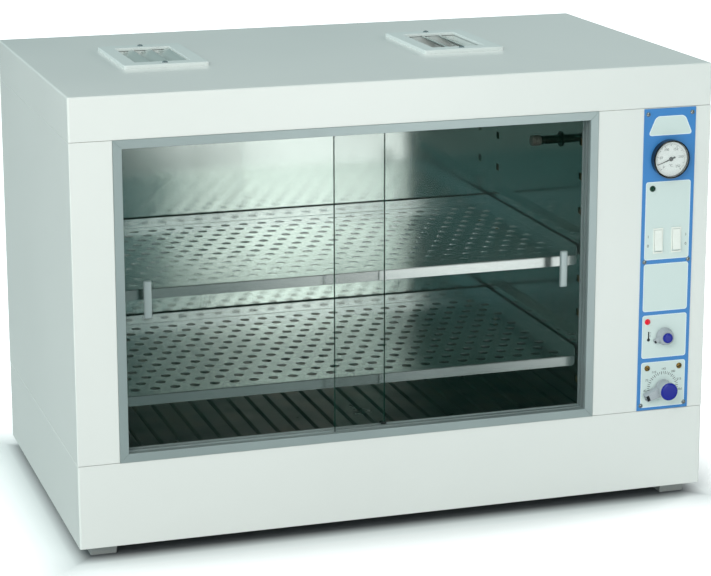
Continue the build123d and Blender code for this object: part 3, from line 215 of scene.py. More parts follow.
class Finish(Nodes):
    """A material: one Principled shader and the nodes that vary it."""

    def __init__(self, name, base, roughness, metallic=0.0, **constants):
        self.material = bpy.data.materials.new(name)
        self.material.use_nodes = True
        super().__init__(self.material.node_tree)
        self.shader = self.tree.nodes["Principled BSDF"]
        self.base = tuple(base)
        self.put("Base Color", (*self.base, 1.0))
        self.put("Roughness", roughness)
        self.put("Metallic", metallic)
        for socket, value in constants.items():
            self.put(socket.replace("_", " "), value)
        self.material.diffuse_color = (*self.base, 1.0)

    def put(self, socket, value):
        """Fills or links one socket of the shader."""
        self.fill(self.shader.inputs[socket], value)

    def place(self, stretch=(1.0, 1.0, 1.0)):
        """The object's own coordinates, stretched along its axes."""
        where = self.node("ShaderNodeTexCoord", output=OBJECT_PLACE)
        return self.node("ShaderNodeMapping", inputs={"Vector": where, "Scale": stretch})

    def noise(self, scale, detail=2.0, stretch=(1.0, 1.0, 1.0), roughness=0.5):
        """Noise from 0 to 1, in features per metre."""
        values = {"Scale": scale, "Detail": detail, "Roughness": roughness}
        return self.node("ShaderNodeTexNoise", inputs={"Vector": self.place(stretch), **values})

    def cells(self, scale):
        """Distance to the nearest of scattered points."""
        return self.node("ShaderNodeTexVoronoi", inputs={"Vector": self.place(), "Scale": scale})

    def tint(self, mask, amount):
        """The base colour, darker by the amount where the mask is 0."""
        dark = tuple(part * (1.0 - amount) for part in self.base)
        self.put("Base Color", self.between(mask, dark, self.base))

    def relief(self, height, distance):
        """Bump from a height map, in metres."""
        inputs = {"Strength": 1.0, "Distance": distance, "Height": height}
        self.put("Normal", self.node("ShaderNodeBump", inputs=inputs))


def enamel(name, base, roughness=0.33):
    """Stoved enamel on sheet: fine orange peel and a faint drift of tone."""
    finish = Finish(name, base, roughness, Coat_Weight=0.25, Coat_Roughness=0.12)
    drift = finish.noise(3.0, 3.0)
    finish.tint(drift, 0.05)
    finish.put("Roughness", drift * 0.10 + (roughness - 0.05))
    finish.relief(finish.noise(420.0, 2.0), 0.00004)
    return finish.material


def rolled_steel(name, base, roughness, stretch, wave=0.0, metallic=1.0):
    """Bright rolled sheet or section: fine lines one way, and slow waves where the sheet is large."""
    finish = Finish(name, base, roughness, metallic)
    grain = finish.noise(90.0, 4.0, stretch)
    cloud = finish.noise(7.0, 3.0)
    finish.tint(cloud, 0.18)
    finish.put("Roughness", grain * 0.10 + cloud * 0.08 + (roughness - 0.08))
    if wave:
        finish.relief(finish.noise(3.2, 1.0) + grain * 0.004, wave)
    else:
        finish.relief(grain, 0.00002)
    return finish.material


def moulded(name, base, roughness=0.38, grain=0.00003, **constants):
    """Moulded plastic with a fine grain."""
    finish = Finish(name, base, roughness, **constants)
    speck = finish.noise(900.0, 2.0)
    finish.tint(finish.noise(60.0, 2.0), 0.07)
    finish.put("Roughness", speck * 0.12 + (roughness - 0.06))
    finish.relief(speck, grain)
    return finish.material


def turned_metal(name, base, roughness=0.22):
    """Plated or bare turned metal with faint handling marks."""
    finish = Finish(name, base, roughness, 0.8)
    marks = finish.noise(500.0, 3.0)
    finish.tint(finish.noise(110.0, 2.0), 0.22)
    finish.put("Roughness", marks * 0.18 + (roughness - 0.06))
    finish.relief(marks, 0.00002)
    return finish.material


def pane_glass(name):
    """Clear float glass: almost unseen through its faces, dark green at its edges."""
    finish = Finish(name, (0.010, 0.050, 0.036), 0.04, Specular_IOR_Level=0.9)
    facing_out = finish.node("ShaderNodeNewGeometry", output=FACING)
    split = finish.node("ShaderNodeSeparateXYZ", inputs={0: facing_out}, output=1)
    flat = split.maths("ABSOLUTE", split) > 0.9
    haze = finish.noise(5.0, 3.0)
    finish.put("Alpha", 0.90 - flat * 0.85 + flat * haze * 0.02)
    return finish.material


def lens_glass(name, base, alpha):
    """A small clear or coloured lens."""
    finish = Finish(name, base, 0.05, Specular_IOR_Level=0.8)
    finish.put("Alpha", finish.noise(30.0) * 0.02 + alpha)
    return finish.material


def lamp_lens(name, base, glow):
    """A coloured lamp lens with prism rings inside."""
    finish = Finish(name, base, 0.12, Coat_Weight=0.6, Coat_Roughness=0.04)
    cell = finish.cells(900.0)
    finish.tint(cell, 0.45)
    bright = tuple(min(1.0, 1.6 * part) for part in base)
    finish.put("Emission Color", finish.between(cell, base, bright))
    finish.put("Emission Strength", glow)
    finish.relief(cell, 0.00008)
    return finish.material


def woven_wool(name):
    """Mineral wool: matted fibres."""
    finish = Finish(name, (0.50, 0.43, 0.22), 0.95)
    fibres = finish.noise(160.0, 8.0, (1.0, 6.0, 6.0), 0.7)
    finish.tint(fibres, 0.6)
    finish.relief(fibres, 0.002)
    return finish.material


def heat_darkened(name, base, roughness):
    """Steel that heat has browned and blued in patches."""
    finish = Finish(name, base, roughness, 1.0)
    patches = finish.noise(14.0, 5.0)
    made = finish.node("ShaderNodeValToRGB", inputs={0: patches})
    stops = made.socket.node.color_ramp.elements
    stops.new(1.0)
    brown = tuple(part * 0.55 for part in base)
    bright = (base[0] * 1.5, base[1] * 1.32, base[2] * 1.18)
    for stop, place, tone in zip(stops, (0.32, 0.52, 0.72), (brown, base, bright)):
        stop.position = place
        stop.color = (*tone, 1.0)
    finish.put("Base Color", made)
    finish.put("Roughness", patches * 0.3 + (roughness - 0.12))
    finish.relief(finish.noise(240.0, 3.0), 0.00005)
    return finish.material


def printed(name, base):
    """Screen-printed ink."""
    finish = Finish(name, base, 0.5)
    finish.tint(finish.noise(700.0, 2.0), 0.12)
    return finish.material


def rubber(name, base):
    """Grey moulded rubber with dust in its pores."""
    finish = Finish(name, base, 0.62)
    pores = finish.noise(380.0, 4.0)
    finish.tint(pores, 0.2)
    finish.put("Roughness", pores * 0.2 + 0.5)
    finish.relief(pores, 0.00008)
    return finish.material


FINISHES = {}


def make_finishes():
    """One material for each slot of the record, and the inks of the printed marks."""
    tones = colours()
    FINISHES.update(
        casing_paint=enamel("casing_enamel", tones.casing),
        vent_paint=enamel("vent_enamel", tones.vents, 0.4),
        # Blade enamel darkened as painted shade between the blades
        blade_sheet=enamel("blade_enamel_painted_shade", tones.blades, 0.36),
        anodised=rolled_steel("anodised_rails", tones.rails, 0.40, (1.0, 1.0, 1.0), metallic=0.6),
        pull_grey=rolled_steel("anodised_pulls", tones.rails, 0.36, (12.0, 12.0, 1.0), metallic=0.6),
        window_glass=pane_glass("float_glass"),
        clear_lens=lens_glass("dial_glass", (0.9, 0.95, 0.95), 0.07),
        stainless=rolled_steel("chamber_sheet", tones.chamber, 0.11, (10.0, 10.0, 0.6), 0.0022),
        perforated_steel=rolled_steel("shelf_sheet", tones.shelves, 0.20, (0.6, 12.0, 12.0)),
        floor_steel=heat_darkened("floor_sheet", (0.20, 0.19, 0.17), 0.30),
        heater_sheath=heat_darkened("heater_sheath", (0.06, 0.055, 0.05), 0.55),
        wool=woven_wool("mineral_wool"),
        # The duct's sheet is near black as painted shade inside the duct under the vents, not the grey of
        # galvanised steel
        galvanised=rolled_steel("duct_sheet_painted_shade", (0.07, 0.08, 0.08), 0.55, (1.0, 1.0, 1.0)),
        screw_steel=turned_metal("plated_steel", (0.62, 0.64, 0.66)),
        plated_shaft=turned_metal("shaft_steel", (0.55, 0.55, 0.55)),
        brass=turned_metal("bare_brass", (0.46, 0.27, 0.07), 0.26),
        plate_paint=enamel("plate_enamel", tones.plate, 0.36),
        bezel_black=moulded("bezel_black", (0.006, 0.006, 0.007), 0.20, 0.00001, Coat_Weight=0.5),
        dial_white=printed("dial_white", (0.84, 0.85, 0.83)),
        needle_black=moulded("needle_black", (0.004, 0.004, 0.004), 0.40),
        green_lens=lamp_lens("green_lens", (0.004, 0.045, 0.022), 0.0),
        red_lens=lamp_lens("red_lens", (0.62, 0.006, 0.022), 0.35),
        switch_white=moulded("switch_white", (0.88, 0.89, 0.84), 0.26, 0.00001),
        knob_grey=moulded("knob_grey", tones.knobs, 0.40),
        cap_blue=moulded("cap_blue", tones.caps, 0.24, 0.00001, Coat_Weight=0.4),
        mechanism_grey=moulded("mechanism_grey", (0.08, 0.08, 0.085), 0.5),
        terminal_white=moulded("terminal_white", (0.62, 0.61, 0.56), 0.5),
        sensor_dark=heat_darkened("sensor_brown", (0.055, 0.038, 0.026), 0.30),
        gland_grey=moulded("gland_grey", (0.055, 0.058, 0.062), 0.45),
        foot_grey=rubber("foot_rubber", (0.42, 0.43, 0.42)),
        clip_dark=moulded("clip_black", (0.008, 0.010, 0.010), 0.4),
        field_paint=enamel("field_enamel", tones.fields, 0.42),
        outline_ink=printed("outline_ink", tones.outlines),
        black_ink=printed("black_ink", (0.012, 0.012, 0.016)),
        coil_steel=turned_metal("coil_steel", (0.42, 0.37, 0.32), 0.3),
    )


# Mesh helpers
def piece(name, bm, body, finish, replaced=(), smooth=30.0):
    """A finished object from a bmesh, riding on a body and standing for its CAD nodes."""
    for face in bm.faces:
        face.smooth = True
    for edge in bm.edges:
        if len(edge.link_faces) != 2:
            continue
        angle = edge.calc_face_angle(0.0)
        areas = sorted(face.calc_area() for face in edge.link_faces)
        step = areas[1] > FLAT_RATIO * areas[0] and angle > FLAT_ANGLE
        edge.smooth = angle < radians(smooth) and not step
    mesh = bpy.data.meshes.new(name)
    bm.to_mesh(mesh)
    bm.free()
    mesh.materials.append(FINISHES[finish])
    obj = bpy.data.objects.new(name, mesh)
    bpy.context.scene.collection.objects.link(obj)
    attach(obj, body)
    if replaced:
        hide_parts(*replaced)


def rounded(bm, edges, radius, segments, **settings):
    """Rounds these edges."""
    shape = {"offset": radius, "segments": segments, "profile": 0.5}
    bmesh.ops.bevel(bm, geom=edges, affect="EDGES", material=-1, **shape, **settings)


def block(bm, low, high, edge=0.0, segments=2):
    """A box between two corners with its edges rounded."""
    low, high = Vector(low), Vector(high)
    shape = Matrix.Translation((low + high) / 2) @ Matrix.Diagonal((*(high - low), 1.0))
    verts = bmesh.ops.create_cube(bm, size=1.0, matrix=shape)["verts"]
    if edge:
        rounded(bm, list({e for v in verts for e in v.link_edges}), edge, segments)
    return bm


def rounded_face(bm, low, high, radius, segments=5, slant=0.0):
    """A flat rounded rectangle in the XY plane, its top edge drawn in by a slant on each side."""
    corners = [(low[0], low[1]), (high[0], low[1]), (high[0] - slant, high[1]), (low[0] + slant, high[1])]
    verts = [bm.verts.new((x, y, 0.0)) for x, y in corners]
    bm.faces.new(verts)
    bmesh.ops.bevel(
        bm, geom=verts, offset=radius, segments=segments, profile=0.5, affect="VERTICES", material=-1
    )


def thicken(bm, faces, height):
    """Raises flat faces into a closed plate along Z."""
    made = bmesh.ops.extrude_face_region(bm, geom=faces)
    verts = [item for item in made["geom"] if isinstance(item, bmesh.types.BMVert)]
    bmesh.ops.translate(bm, vec=(0.0, 0.0, height), verts=verts)
    bmesh.ops.recalc_face_normals(bm, faces=bm.faces[:])


def turned(profile, matrix=None, steps=None):
    """A full turn of a profile of (radius, height) points about Z, closed where it meets the axis."""
    bm = bmesh.new()
    verts = [bm.verts.new((radius, 0.0, height)) for radius, height in profile]
    edges = [bm.edges.new(pair) for pair in zip(verts, verts[1:])]
    bmesh.ops.spin(
        bm,
        geom=verts + edges,
        cent=(0.0, 0.0, 0.0),
        axis=(0.0, 0.0, 1.0),
        angle=2 * pi,
        steps=steps or sizes().turning_steps,
        use_merge=True,
    )
    bmesh.ops.remove_doubles(bm, verts=bm.verts[:], dist=WELD)
    bmesh.ops.recalc_face_normals(bm, faces=bm.faces[:])
    if matrix:
        bmesh.ops.transform(bm, matrix=matrix, verts=bm.verts[:])
    return bm


def on_front(x, y, z):
    """From a flat drawing to the front: its X to the right, its Y up, its Z towards the viewer."""
    turn = Matrix(((1, 0, 0), (0, 0, -1), (0, 1, 0))).to_4x4()
    return Matrix.Translation((x, y, z)) @ turn


TO_BACK = Matrix(((-1, 0, 0), (0, 0, 1), (0, 1, 0))).to_4x4()


def middle_of(node):
    """The middle of a CAD node's box."""
    low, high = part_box(node)
    return (low + high) / 2


def clockwise(angle):
    """A turn in the flat drawing, in degrees clockwise from twelve o'clock."""
    return Matrix.Rotation(-radians(angle), 4, "Z")


def add_mesh(bm, other, matrix):
    """Adds a second bmesh, moved by a matrix, and frees it."""
    bmesh.ops.transform(other, matrix=matrix, verts=other.verts[:])
    mesh = bpy.data.meshes.new("part")
    other.to_mesh(mesh)
    other.free()
    bm.from_mesh(mesh)
    bpy.data.meshes.remove(mesh)


def letters(bm, text, size, matrix, height):
    """Adds numbers or words, raised a hair above the surface."""
    curve = bpy.data.curves.new("letters", "FONT")
    curve.body = text
    curve.size = size
    curve.align_x = "CENTER"
    curve.align_y = "CENTER"
    curve.resolution_u = 3
    curve.extrude = height / 2
    holder = bpy.data.objects.new("letters", curve)
    mesh = bpy.data.meshes.new_from_object(holder)
    mesh.transform(matrix @ Matrix.Translation((0.0, 0.0, height / 2)))
    bm.from_mesh(mesh)
    bpy.data.meshes.remove(mesh)
    bpy.data.objects.remove(holder)
    bpy.data.curves.remove(curve)


def softened(name, node, finish, edge, segments=2, sharp=50.0):
    """A copy of a CAD node with its sharp outer edges rounded, which stands for the node."""
    source = NODES[node]
    bm = bmesh.new()
    bm.from_mesh(source.data)
    bmesh.ops.remove_doubles(bm, verts=bm.verts[:], dist=0.000001)
    bmesh.ops.dissolve_limit(
        bm, angle_limit=radians(0.5), verts=bm.verts[:], edges=bm.edges[:], use_dissolve_boundaries=False
    )
    edges = [
        e
        for e in bm.edges
        if len(e.link_faces) == 2 and e.is_convex and e.calc_face_angle(0.0) > radians(sharp)
    ]
    if edges:
        rounded(bm, edges, edge, segments, clamp_overlap=True)
    piece(name, bm, source["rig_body"], finish, [node])


def cut_hole(bm, low, high):
    """Cuts a rectangle out of the faces that lie flat between two corners."""
    for axis in (0, 1):
        for corner in (low, high):
            normal = Vector((0.0, 0.0, 0.0))
            normal[axis] = 1.0
            bmesh.ops.bisect_plane(
                bm, geom=bm.verts[:] + bm.edges[:] + bm.faces[:], plane_co=corner, plane_no=normal
            )
    gone = [
        f
        for f in bm.faces
        if all(low[axis] < f.calc_center_median()[axis] < high[axis] for axis in (0, 1))
    ]
    bmesh.ops.delete(bm, geom=gone, context="FACES")


# Casing
COVER_SHEET = 0.0015
COVER_SIDE_FOLD = 0.0030
COVER_TOP_FOLD = 0.0026
VENT_CUTOUT = Vector((0.091, 0.149, 0.0))
FOOT_EDGE = 0.0016
SHEET_EDGE_SHARE = 0.45


def folded_shell(low, high, folds, top_fold, sheet, holes=()):
    """A folded lid, open below: rounded outside, hollow inside, with rectangular holes in its top."""
    near = 0.0001
    bm = bmesh.new()
    block(bm, low, high)
    upright = [e for e in bm.edges if abs(e.verts[0].co.z - e.verts[1].co.z) > 0.001]
    rounded(bm, upright, folds, 5)
    top = [e for e in bm.edges if all(v.co.z > high[2] - near for v in e.verts)]
    rounded(bm, top, top_fold, 4)
    under = [f for f in bm.faces if f.calc_center_median().z < low[2] + near]
    bmesh.ops.delete(bm, geom=under, context="FACES")
    for hole_low, hole_high in holes:
        cut_hole(bm, Vector((*hole_low[:2], high[2])), Vector((*hole_high[:2], high[2])))
    bmesh.ops.solidify(bm, geom=bm.faces[:], thickness=sheet)
    return bm


def make_casing():
    """Cover, plinth, posts, side walls and back of enamelled sheet, and the rubber feet."""
    low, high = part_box("top_cover")
    holes = []
    for side in SIDES:
        centre = middle_of(f"{side}_vent_frame")
        holes.append((centre - VENT_CUTOUT / 2, centre + VENT_CUTOUT / 2))
    bm = folded_shell(low, high, COVER_SIDE_FOLD, COVER_TOP_FOLD, COVER_SHEET, holes)
    piece("cover_shell", bm, "casing", "casing_paint", ["top_cover"], smooth=40.0)
    edge = sizes().edge_radius * SHEET_EDGE_SHARE
    for node in ("base_plinth", "left_side_panel", "right_side_panel", "back_panel"):
        softened(f"{node}_sheet", node, "casing_paint", edge, 2)
    softened("foot_pads", "feet", "foot_grey", FOOT_EDGE, 3)


# Window
PULL_EDGE = 0.0022
FINE_EDGE = 0.0003
SHEET_EDGE = 0.0004


def make_window():
    """The mitred aluminium frame and the pulls of the sliding panes."""
    for node in ("frame_bottom_rail", "frame_top_rail", "frame_left_stile", "frame_right_stile"):
        softened(f"{node}_profile", node, "anodised", sizes().rail_edge, 2)
    for side in SIDES:
        low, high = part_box(f"{side}_door_pull")
        bm = bmesh.new()
        block(bm, low, high, PULL_EDGE, 4)
        piece(f"{side}_pull_grip", bm, f"{side}_door", "pull_grey", [f"{side}_door_pull"])
    softened("pane_guide_clip", "left_door_guide", "clip_dark", FINE_EDGE)


# Chamber
FLOOR_EDGE = 0.0005
SENSOR_FLANGE = 0.0120
SENSOR_RADIUS = 0.0065
SENSOR_NECK = 0.0058
COIL_CORE = 0.0066
COIL_WIRE = 0.0018
COIL_WRAPS = 5
BULB_CORE = 0.0048


def make_chamber():
    """The slotted floor, the hooked channels and the sensor with its coil."""
    softened("slotted_floor", "floor_plate", "floor_steel", FLOOR_EDGE)
    for level in LEVELS:
        softened(f"{level}_channels", f"{level}_shelf_runners", "stainless", FINE_EDGE)
    low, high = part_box("sensor_socket")
    centre = middle_of("sensor_socket")
    to_left = Matrix.Translation((high.x, centre.y, centre.z)) @ Matrix.Rotation(-pi / 2, 4, "Y")
    reach = high.x - low.x
    sleeve = [
        (0.0, 0.0), (SENSOR_FLANGE, 0.0), (SENSOR_FLANGE, 0.0016), (SENSOR_FLANGE - 0.0015, 0.002),
        (SENSOR_RADIUS + 0.0007, 0.002), (SENSOR_RADIUS, 0.0028), (SENSOR_RADIUS, reach - 0.008),
        (SENSOR_NECK, reach - 0.007), (SENSOR_NECK, reach - 0.0045),
        (SENSOR_RADIUS, reach - 0.0035), (SENSOR_RADIUS, reach), (0.0, reach),
    ]
    piece("sensor_sleeve", turned(sleeve, to_left), "casing", "sensor_dark", ["sensor_socket"])
    bulb_reach = high.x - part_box("sensor_bulb")[0].x
    wire = (bulb_reach - reach) / (2 * COIL_WRAPS + 1)
    coil = [(0.0, reach)]
    for wrap in range(COIL_WRAPS):
        middle = reach + wire * (2 * wrap + 1.5)
        for step in range(7):
            angle = pi * step / 6
            coil.append((COIL_CORE + COIL_WIRE * sin(angle), middle - wire * 0.95 * cos(angle)))
    coil += [(BULB_CORE, bulb_reach - 0.0002), (0.0, bulb_reach)]
    bm = turned(coil, to_left)
    piece("sensor_coil", bm, "casing", "coil_steel", ["sensor_bulb"])


# Shelves
SHELF_SHEET = 0.0012
UPSTAND = 0.015
TRAY_CORNER = 0.006


def pierced_sheet(bm, low, high, top):
    """The flat of a shelf, with rows of round holes set by half a pitch from each other."""
    size = sizes()
    corners = [(low.x, low.y), (high.x, low.y), (high.x, high.y), (low.x, high.y)]
    verts = [bm.verts.new((x, y, top)) for x, y in corners]
    rim = [bm.edges.new((verts[i], verts[(i + 1) % 4])) for i in range(4)]
    pitch, radius = size.hole_pitch, size.hole_diameter / 2
    border = 2 * (size.hole_margin + radius)
    rows = int((high.y - low.y - border) / pitch) + 1
    columns = int((high.x - low.x - border) / pitch) + 1
    first_y = (low.y + high.y - (rows - 1) * pitch) / 2
    middle_x = (low.x + high.x) / 2
    for row in range(rows):
        count = columns - row % 2
        for column in range(count):
            x = middle_x + (column - (count - 1) / 2) * pitch
            centre = Matrix.Translation((x, first_y + row * pitch, top))
            ring = bmesh.ops.create_circle(bm, segments=size.hole_sides, radius=radius, matrix=centre)
            rim += list({e for v in ring["verts"] for e in v.link_edges})
    filled = bmesh.ops.triangle_fill(bm, use_beauty=True, edges=rim, normal=(0.0, 0.0, 1.0))
    faces = [item for item in filled["geom"] if isinstance(item, bmesh.types.BMFace)]
    thicken(bm, faces, -SHELF_SHEET)


def flat_plate(points, round_at):
    """A flat plate of the sheet's thickness, with some of its corners rounded."""
    bm = bmesh.new()
    verts = [bm.verts.new((x, y, 0.0)) for x, y in points]
    bm.faces.new(verts)
    corners = [verts[index] for index in round_at]
    bmesh.ops.bevel(
        bm, geom=corners, offset=TRAY_CORNER, segments=6, profile=0.5, affect="VERTICES", material=-1
    )
    thicken(bm, bm.faces[:], SHELF_SHEET)
    return bm


def perforated_tray(level):
    """A shelf: round-holed sheet, upstands at three sides and a lip turned down in front."""
    low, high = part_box(f"{level}_shelf")
    top = high.z - UPSTAND
    bm = bmesh.new()
    pierced_sheet(bm, low, high, top)
    upright = Matrix(((0, 0, 1), (1, 0, 0), (0, 1, 0))).to_4x4()
    for x in (low.x, high.x - SHELF_SHEET):
        side = flat_plate([(low.y, top), (high.y, top), (high.y, high.z), (low.y, high.z)], [3])
        add_mesh(bm, side, Matrix.Translation((x, 0.0, 0.0)) @ upright)
    block(bm, (low.x, high.y - SHELF_SHEET, top), high, SHEET_EDGE)
    lip = flat_plate([(low.x, low.z), (high.x, low.z), (high.x, top), (low.x, top)], [0, 1])
    edges = [e for e in lip.edges if e.calc_face_angle(0.0) > radians(60) and e.verts[0].co.z > 0.0005]
    rounded(lip, edges, SHEET_EDGE, 2)
    add_mesh(bm, lip, on_front(0.0, low.y + SHELF_SHEET, 0.0))
    piece(f"{level}_shelf_tray", bm, "casing", "perforated_steel", [f"{level}_shelf"])


def make_shelves():
    """Both perforated shelves."""
    for level in LEVELS:
        perforated_tray(level)


# Vents
VENT_FLANGE = 0.0055
VENT_OPENING = Vector((0.086, 0.144, 0.0))
VENT_CORNER = 0.004
VENT_RIM = 0.0013
VENT_WALL = 0.002
BLADE_EDGE = 0.0002
BLADES = (1, 2, 3)


def make_vents():
    """Vent frames with rounded rims, and the blades, their cranks and tie bars."""
    for side in SIDES:
        node = f"{side}_vent_frame"
        low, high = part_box(node)
        centre = middle_of(node)
        base = high.z - VENT_FLANGE
        half = (high - low) / 2
        opening = VENT_OPENING / 2
        bm = bmesh.new()
        rounded_face(bm, (-half.x, -half.y), (half.x, half.y), VENT_CORNER, 5)
        cut_hole(bm, -opening, opening)
        thicken(bm, bm.faces[:], VENT_FLANGE)
        rims = [
            e
            for e in bm.edges
            if e.calc_face_angle(0.0) > radians(60) and all(v.co.z > 0.005 for v in e.verts)
        ]
        rounded(bm, rims, VENT_RIM, 4)
        bottom, overlap = low.z - base, 0.001
        long = opening.y + VENT_WALL
        for x in (-opening.x - VENT_WALL, opening.x):
            block(bm, (x, -long, bottom), (x + VENT_WALL, long, overlap))
        for y in (-opening.y - VENT_WALL, opening.y):
            block(bm, (-opening.x, y, bottom), (opening.x, y + VENT_WALL, overlap))
        place = Matrix.Translation((centre.x, centre.y, base))
        bmesh.ops.transform(bm, matrix=place, verts=bm.verts[:])
        piece(f"{side}_vent_rim", bm, "casing", "vent_paint", [node])
        # The blades and tie bar take the blade enamel, darkened as painted shade
        for index in BLADES:
            blade = f"{side}_vent_blade_{index}"
            softened(f"{blade}_sheet", blade, "blade_sheet", BLADE_EDGE, 2, 60.0)
        softened(f"{side}_tie_bar_strip", f"{side}_vent_tie_bar", "blade_sheet", BLADE_EDGE)


# Screws
CASING_HEAD = (0.0045, 0.0024)
PLATE_HEAD = (0.0035, 0.0018)
BRASS_RADIUS = 0.0046
VENT_SCREW_OFFSET = 0.086
BACK_SCREW_X = 0.489
BACK_SCREW_ROWS = 3
CROSS_TURN = 20.0


def head_with_cross(bm, marks, place, head):
    """One domed head, and a dark cross raised on it as painted shade in its recess."""
    radius, height = head
    profile = [(0.0, height)]
    for step in range(1, 8):
        angle = pi / 2 * step / 7
        profile.append((radius * sin(angle), height * (0.25 + 0.75 * cos(angle))))
    profile += [(radius, 0.0), (0.0, 0.0)]
    add_mesh(bm, turned(profile, None, 32), place)
    long, wide = radius * 0.45, radius * 0.1
    for turn in (0.0, 90.0):
        bar = block(bmesh.new(), (-long, -wide, height * 0.5), (long, wide, height * 1.01))
        add_mesh(marks, bar, place @ clockwise(turn + CROSS_TURN))


def slotted_head(bm, marks, place, angle):
    """One flat brass head, and a dark line raised in it as painted shade in its slot."""
    radius = BRASS_RADIUS
    profile = [(0.0, 0.0016), (0.0034, 0.0016), (0.0042, 0.0013)]
    profile += [(radius, 0.0007), (radius, 0.0), (0.0, 0.0)]
    add_mesh(bm, turned(profile, None, 40), place)
    cut = block(bmesh.new(), (-0.0041, -0.0006, 0.0009), (0.0041, 0.0006, 0.00164))
    add_mesh(marks, cut, place @ clockwise(angle))


def make_screws():
    """Domed steel screws of the vents, the back and the control plate, and the brass pair."""
    bm, marks = bmesh.new(), bmesh.new()
    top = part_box("left_vent_frame")[1].z
    for side in SIDES:
        centre = middle_of(f"{side}_vent_frame")
        for offset in (-VENT_SCREW_OFFSET, VENT_SCREW_OFFSET):
            place = Matrix.Translation((centre.x, centre.y + offset, top))
            head_with_cross(bm, marks, place, CASING_HEAD)
    low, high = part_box("left_side_panel")
    pitch = (high.z - low.z) / BACK_SCREW_ROWS
    for x in (-BACK_SCREW_X, BACK_SCREW_X):
        for row in range(BACK_SCREW_ROWS):
            place = Matrix.Translation((x, high.y, low.z + pitch * (row + 0.5))) @ TO_BACK
            head_with_cross(bm, marks, place, CASING_HEAD)
    piece("casing_screw_heads", bm, "casing", "screw_steel", ["casing_screws"])
    # Black ink crosses as painted shade in the recesses
    piece("casing_screw_recess_shade", marks, "casing", "black_ink")

    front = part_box("control_plate")[0].y
    low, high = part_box("plate_screws")
    radius = PLATE_HEAD[0]
    bm, marks = bmesh.new(), bmesh.new()
    for x in (low.x + radius, high.x - radius):
        for z in (low.z + radius, (low.z + high.z) / 2, high.z - radius):
            head_with_cross(bm, marks, on_front(x, front, z), PLATE_HEAD)
    piece("plate_screw_heads", bm, "casing", "screw_steel", ["plate_screws"])
    # Black ink crosses as painted shade in the recesses
    piece("plate_screw_recess_shade", marks, "casing", "black_ink")

    low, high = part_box("brass_screws")
    bm, marks = bmesh.new(), bmesh.new()
    for x, angle in ((low.x + BRASS_RADIUS, 35.0), (high.x - BRASS_RADIUS, -20.0)):
        slotted_head(bm, marks, on_front(x, front, (low.z + high.z) / 2), angle)
    piece("brass_screw_heads", bm, "casing", "brass", ["brass_screws"])
    # Black ink lines as painted shade in the slots
    piece("brass_screw_slot_shade", marks, "casing", "black_ink")


# Control plate
FIELD_SIDES = (0.3935, 0.4685)
FIELD_HEIGHTS = ((0.3897, 0.5130), (0.3070, 0.3830), (0.2316, 0.3010), (0.1515, 0.2250))
FIELD_CORNER = 0.004
FIELD_LINE = 0.0011
BADGE_LOW = (0.395, 0.585)
BADGE_HIGH = (0.469, 0.615)
BADGE_SLANT = 0.013
CONTROL_X = 0.431
THERMOSTAT_Z = 0.182
LIMITER_Z = 0.266
# Ticks and marks have an inner radius and half a width
THERMOSTAT_SCALE = {
    "arc": (-96.0, 196.0, 26, 2),
    "tick": (0.0225, 0.0003),
    "mark": (0.0215, 0.00042),
    "end": 0.0265,
    "numbers": range(40, 251, 35),
    "letter_size": 0.0052,
    "letter_radius": 0.0302,
}
SIGN_X = 0.4048
SIGN_BULB_Z = 0.2615


def outlined_field(fields, lines, place, low, high, corner, line, slant=0.0):
    """A raised pale field and the slightly higher outline round it."""
    size = sizes()
    segments = 6 if slant else 5
    flat = bmesh.new()
    rounded_face(flat, low, high, corner, segments, slant)
    thicken(flat, flat.faces[:], size.field_height)
    add_mesh(fields, flat, place)
    flat = bmesh.new()
    rounded_face(flat, low, high, corner, segments, slant)
    bmesh.ops.inset_region(
        flat, faces=flat.faces[:], thickness=line, use_boundary=True, use_even_offset=True
    )
    inside = max(flat.faces, key=lambda face: face.calc_area())
    bmesh.ops.delete(flat, geom=[inside], context="FACES")
    thicken(flat, flat.faces[:], size.field_height + size.print_height)
    add_mesh(lines, flat, place)


def printed_bar(ink, place, low, high):
    """One printed line, a hair above the surface."""
    bar = block(bmesh.new(), (*low, 0.0), (*high, sizes().print_height))
    add_mesh(ink, bar, place)


def printed_scale(ink, place, arc, tick, mark, end, numbers, letter_size, letter_radius):
    """Ticks round an arc, a mark in place of each so many, and upright numbers."""
    start, sweep, count, every = arc
    for step in range(count + 1):
        inner, half = tick if step % every else mark
        turn = clockwise(start + sweep * step / count)
        printed_bar(ink, place @ turn, (-half, inner), (half, end))
    out = Matrix.Translation((0.0, letter_radius, 0.0))
    for step, number in enumerate(numbers):
        angle = start + sweep * step / (len(numbers) - 1)
        spot = place @ clockwise(angle) @ out @ clockwise(-angle)
        letters(ink, str(number), letter_size, spot, sizes().print_height)


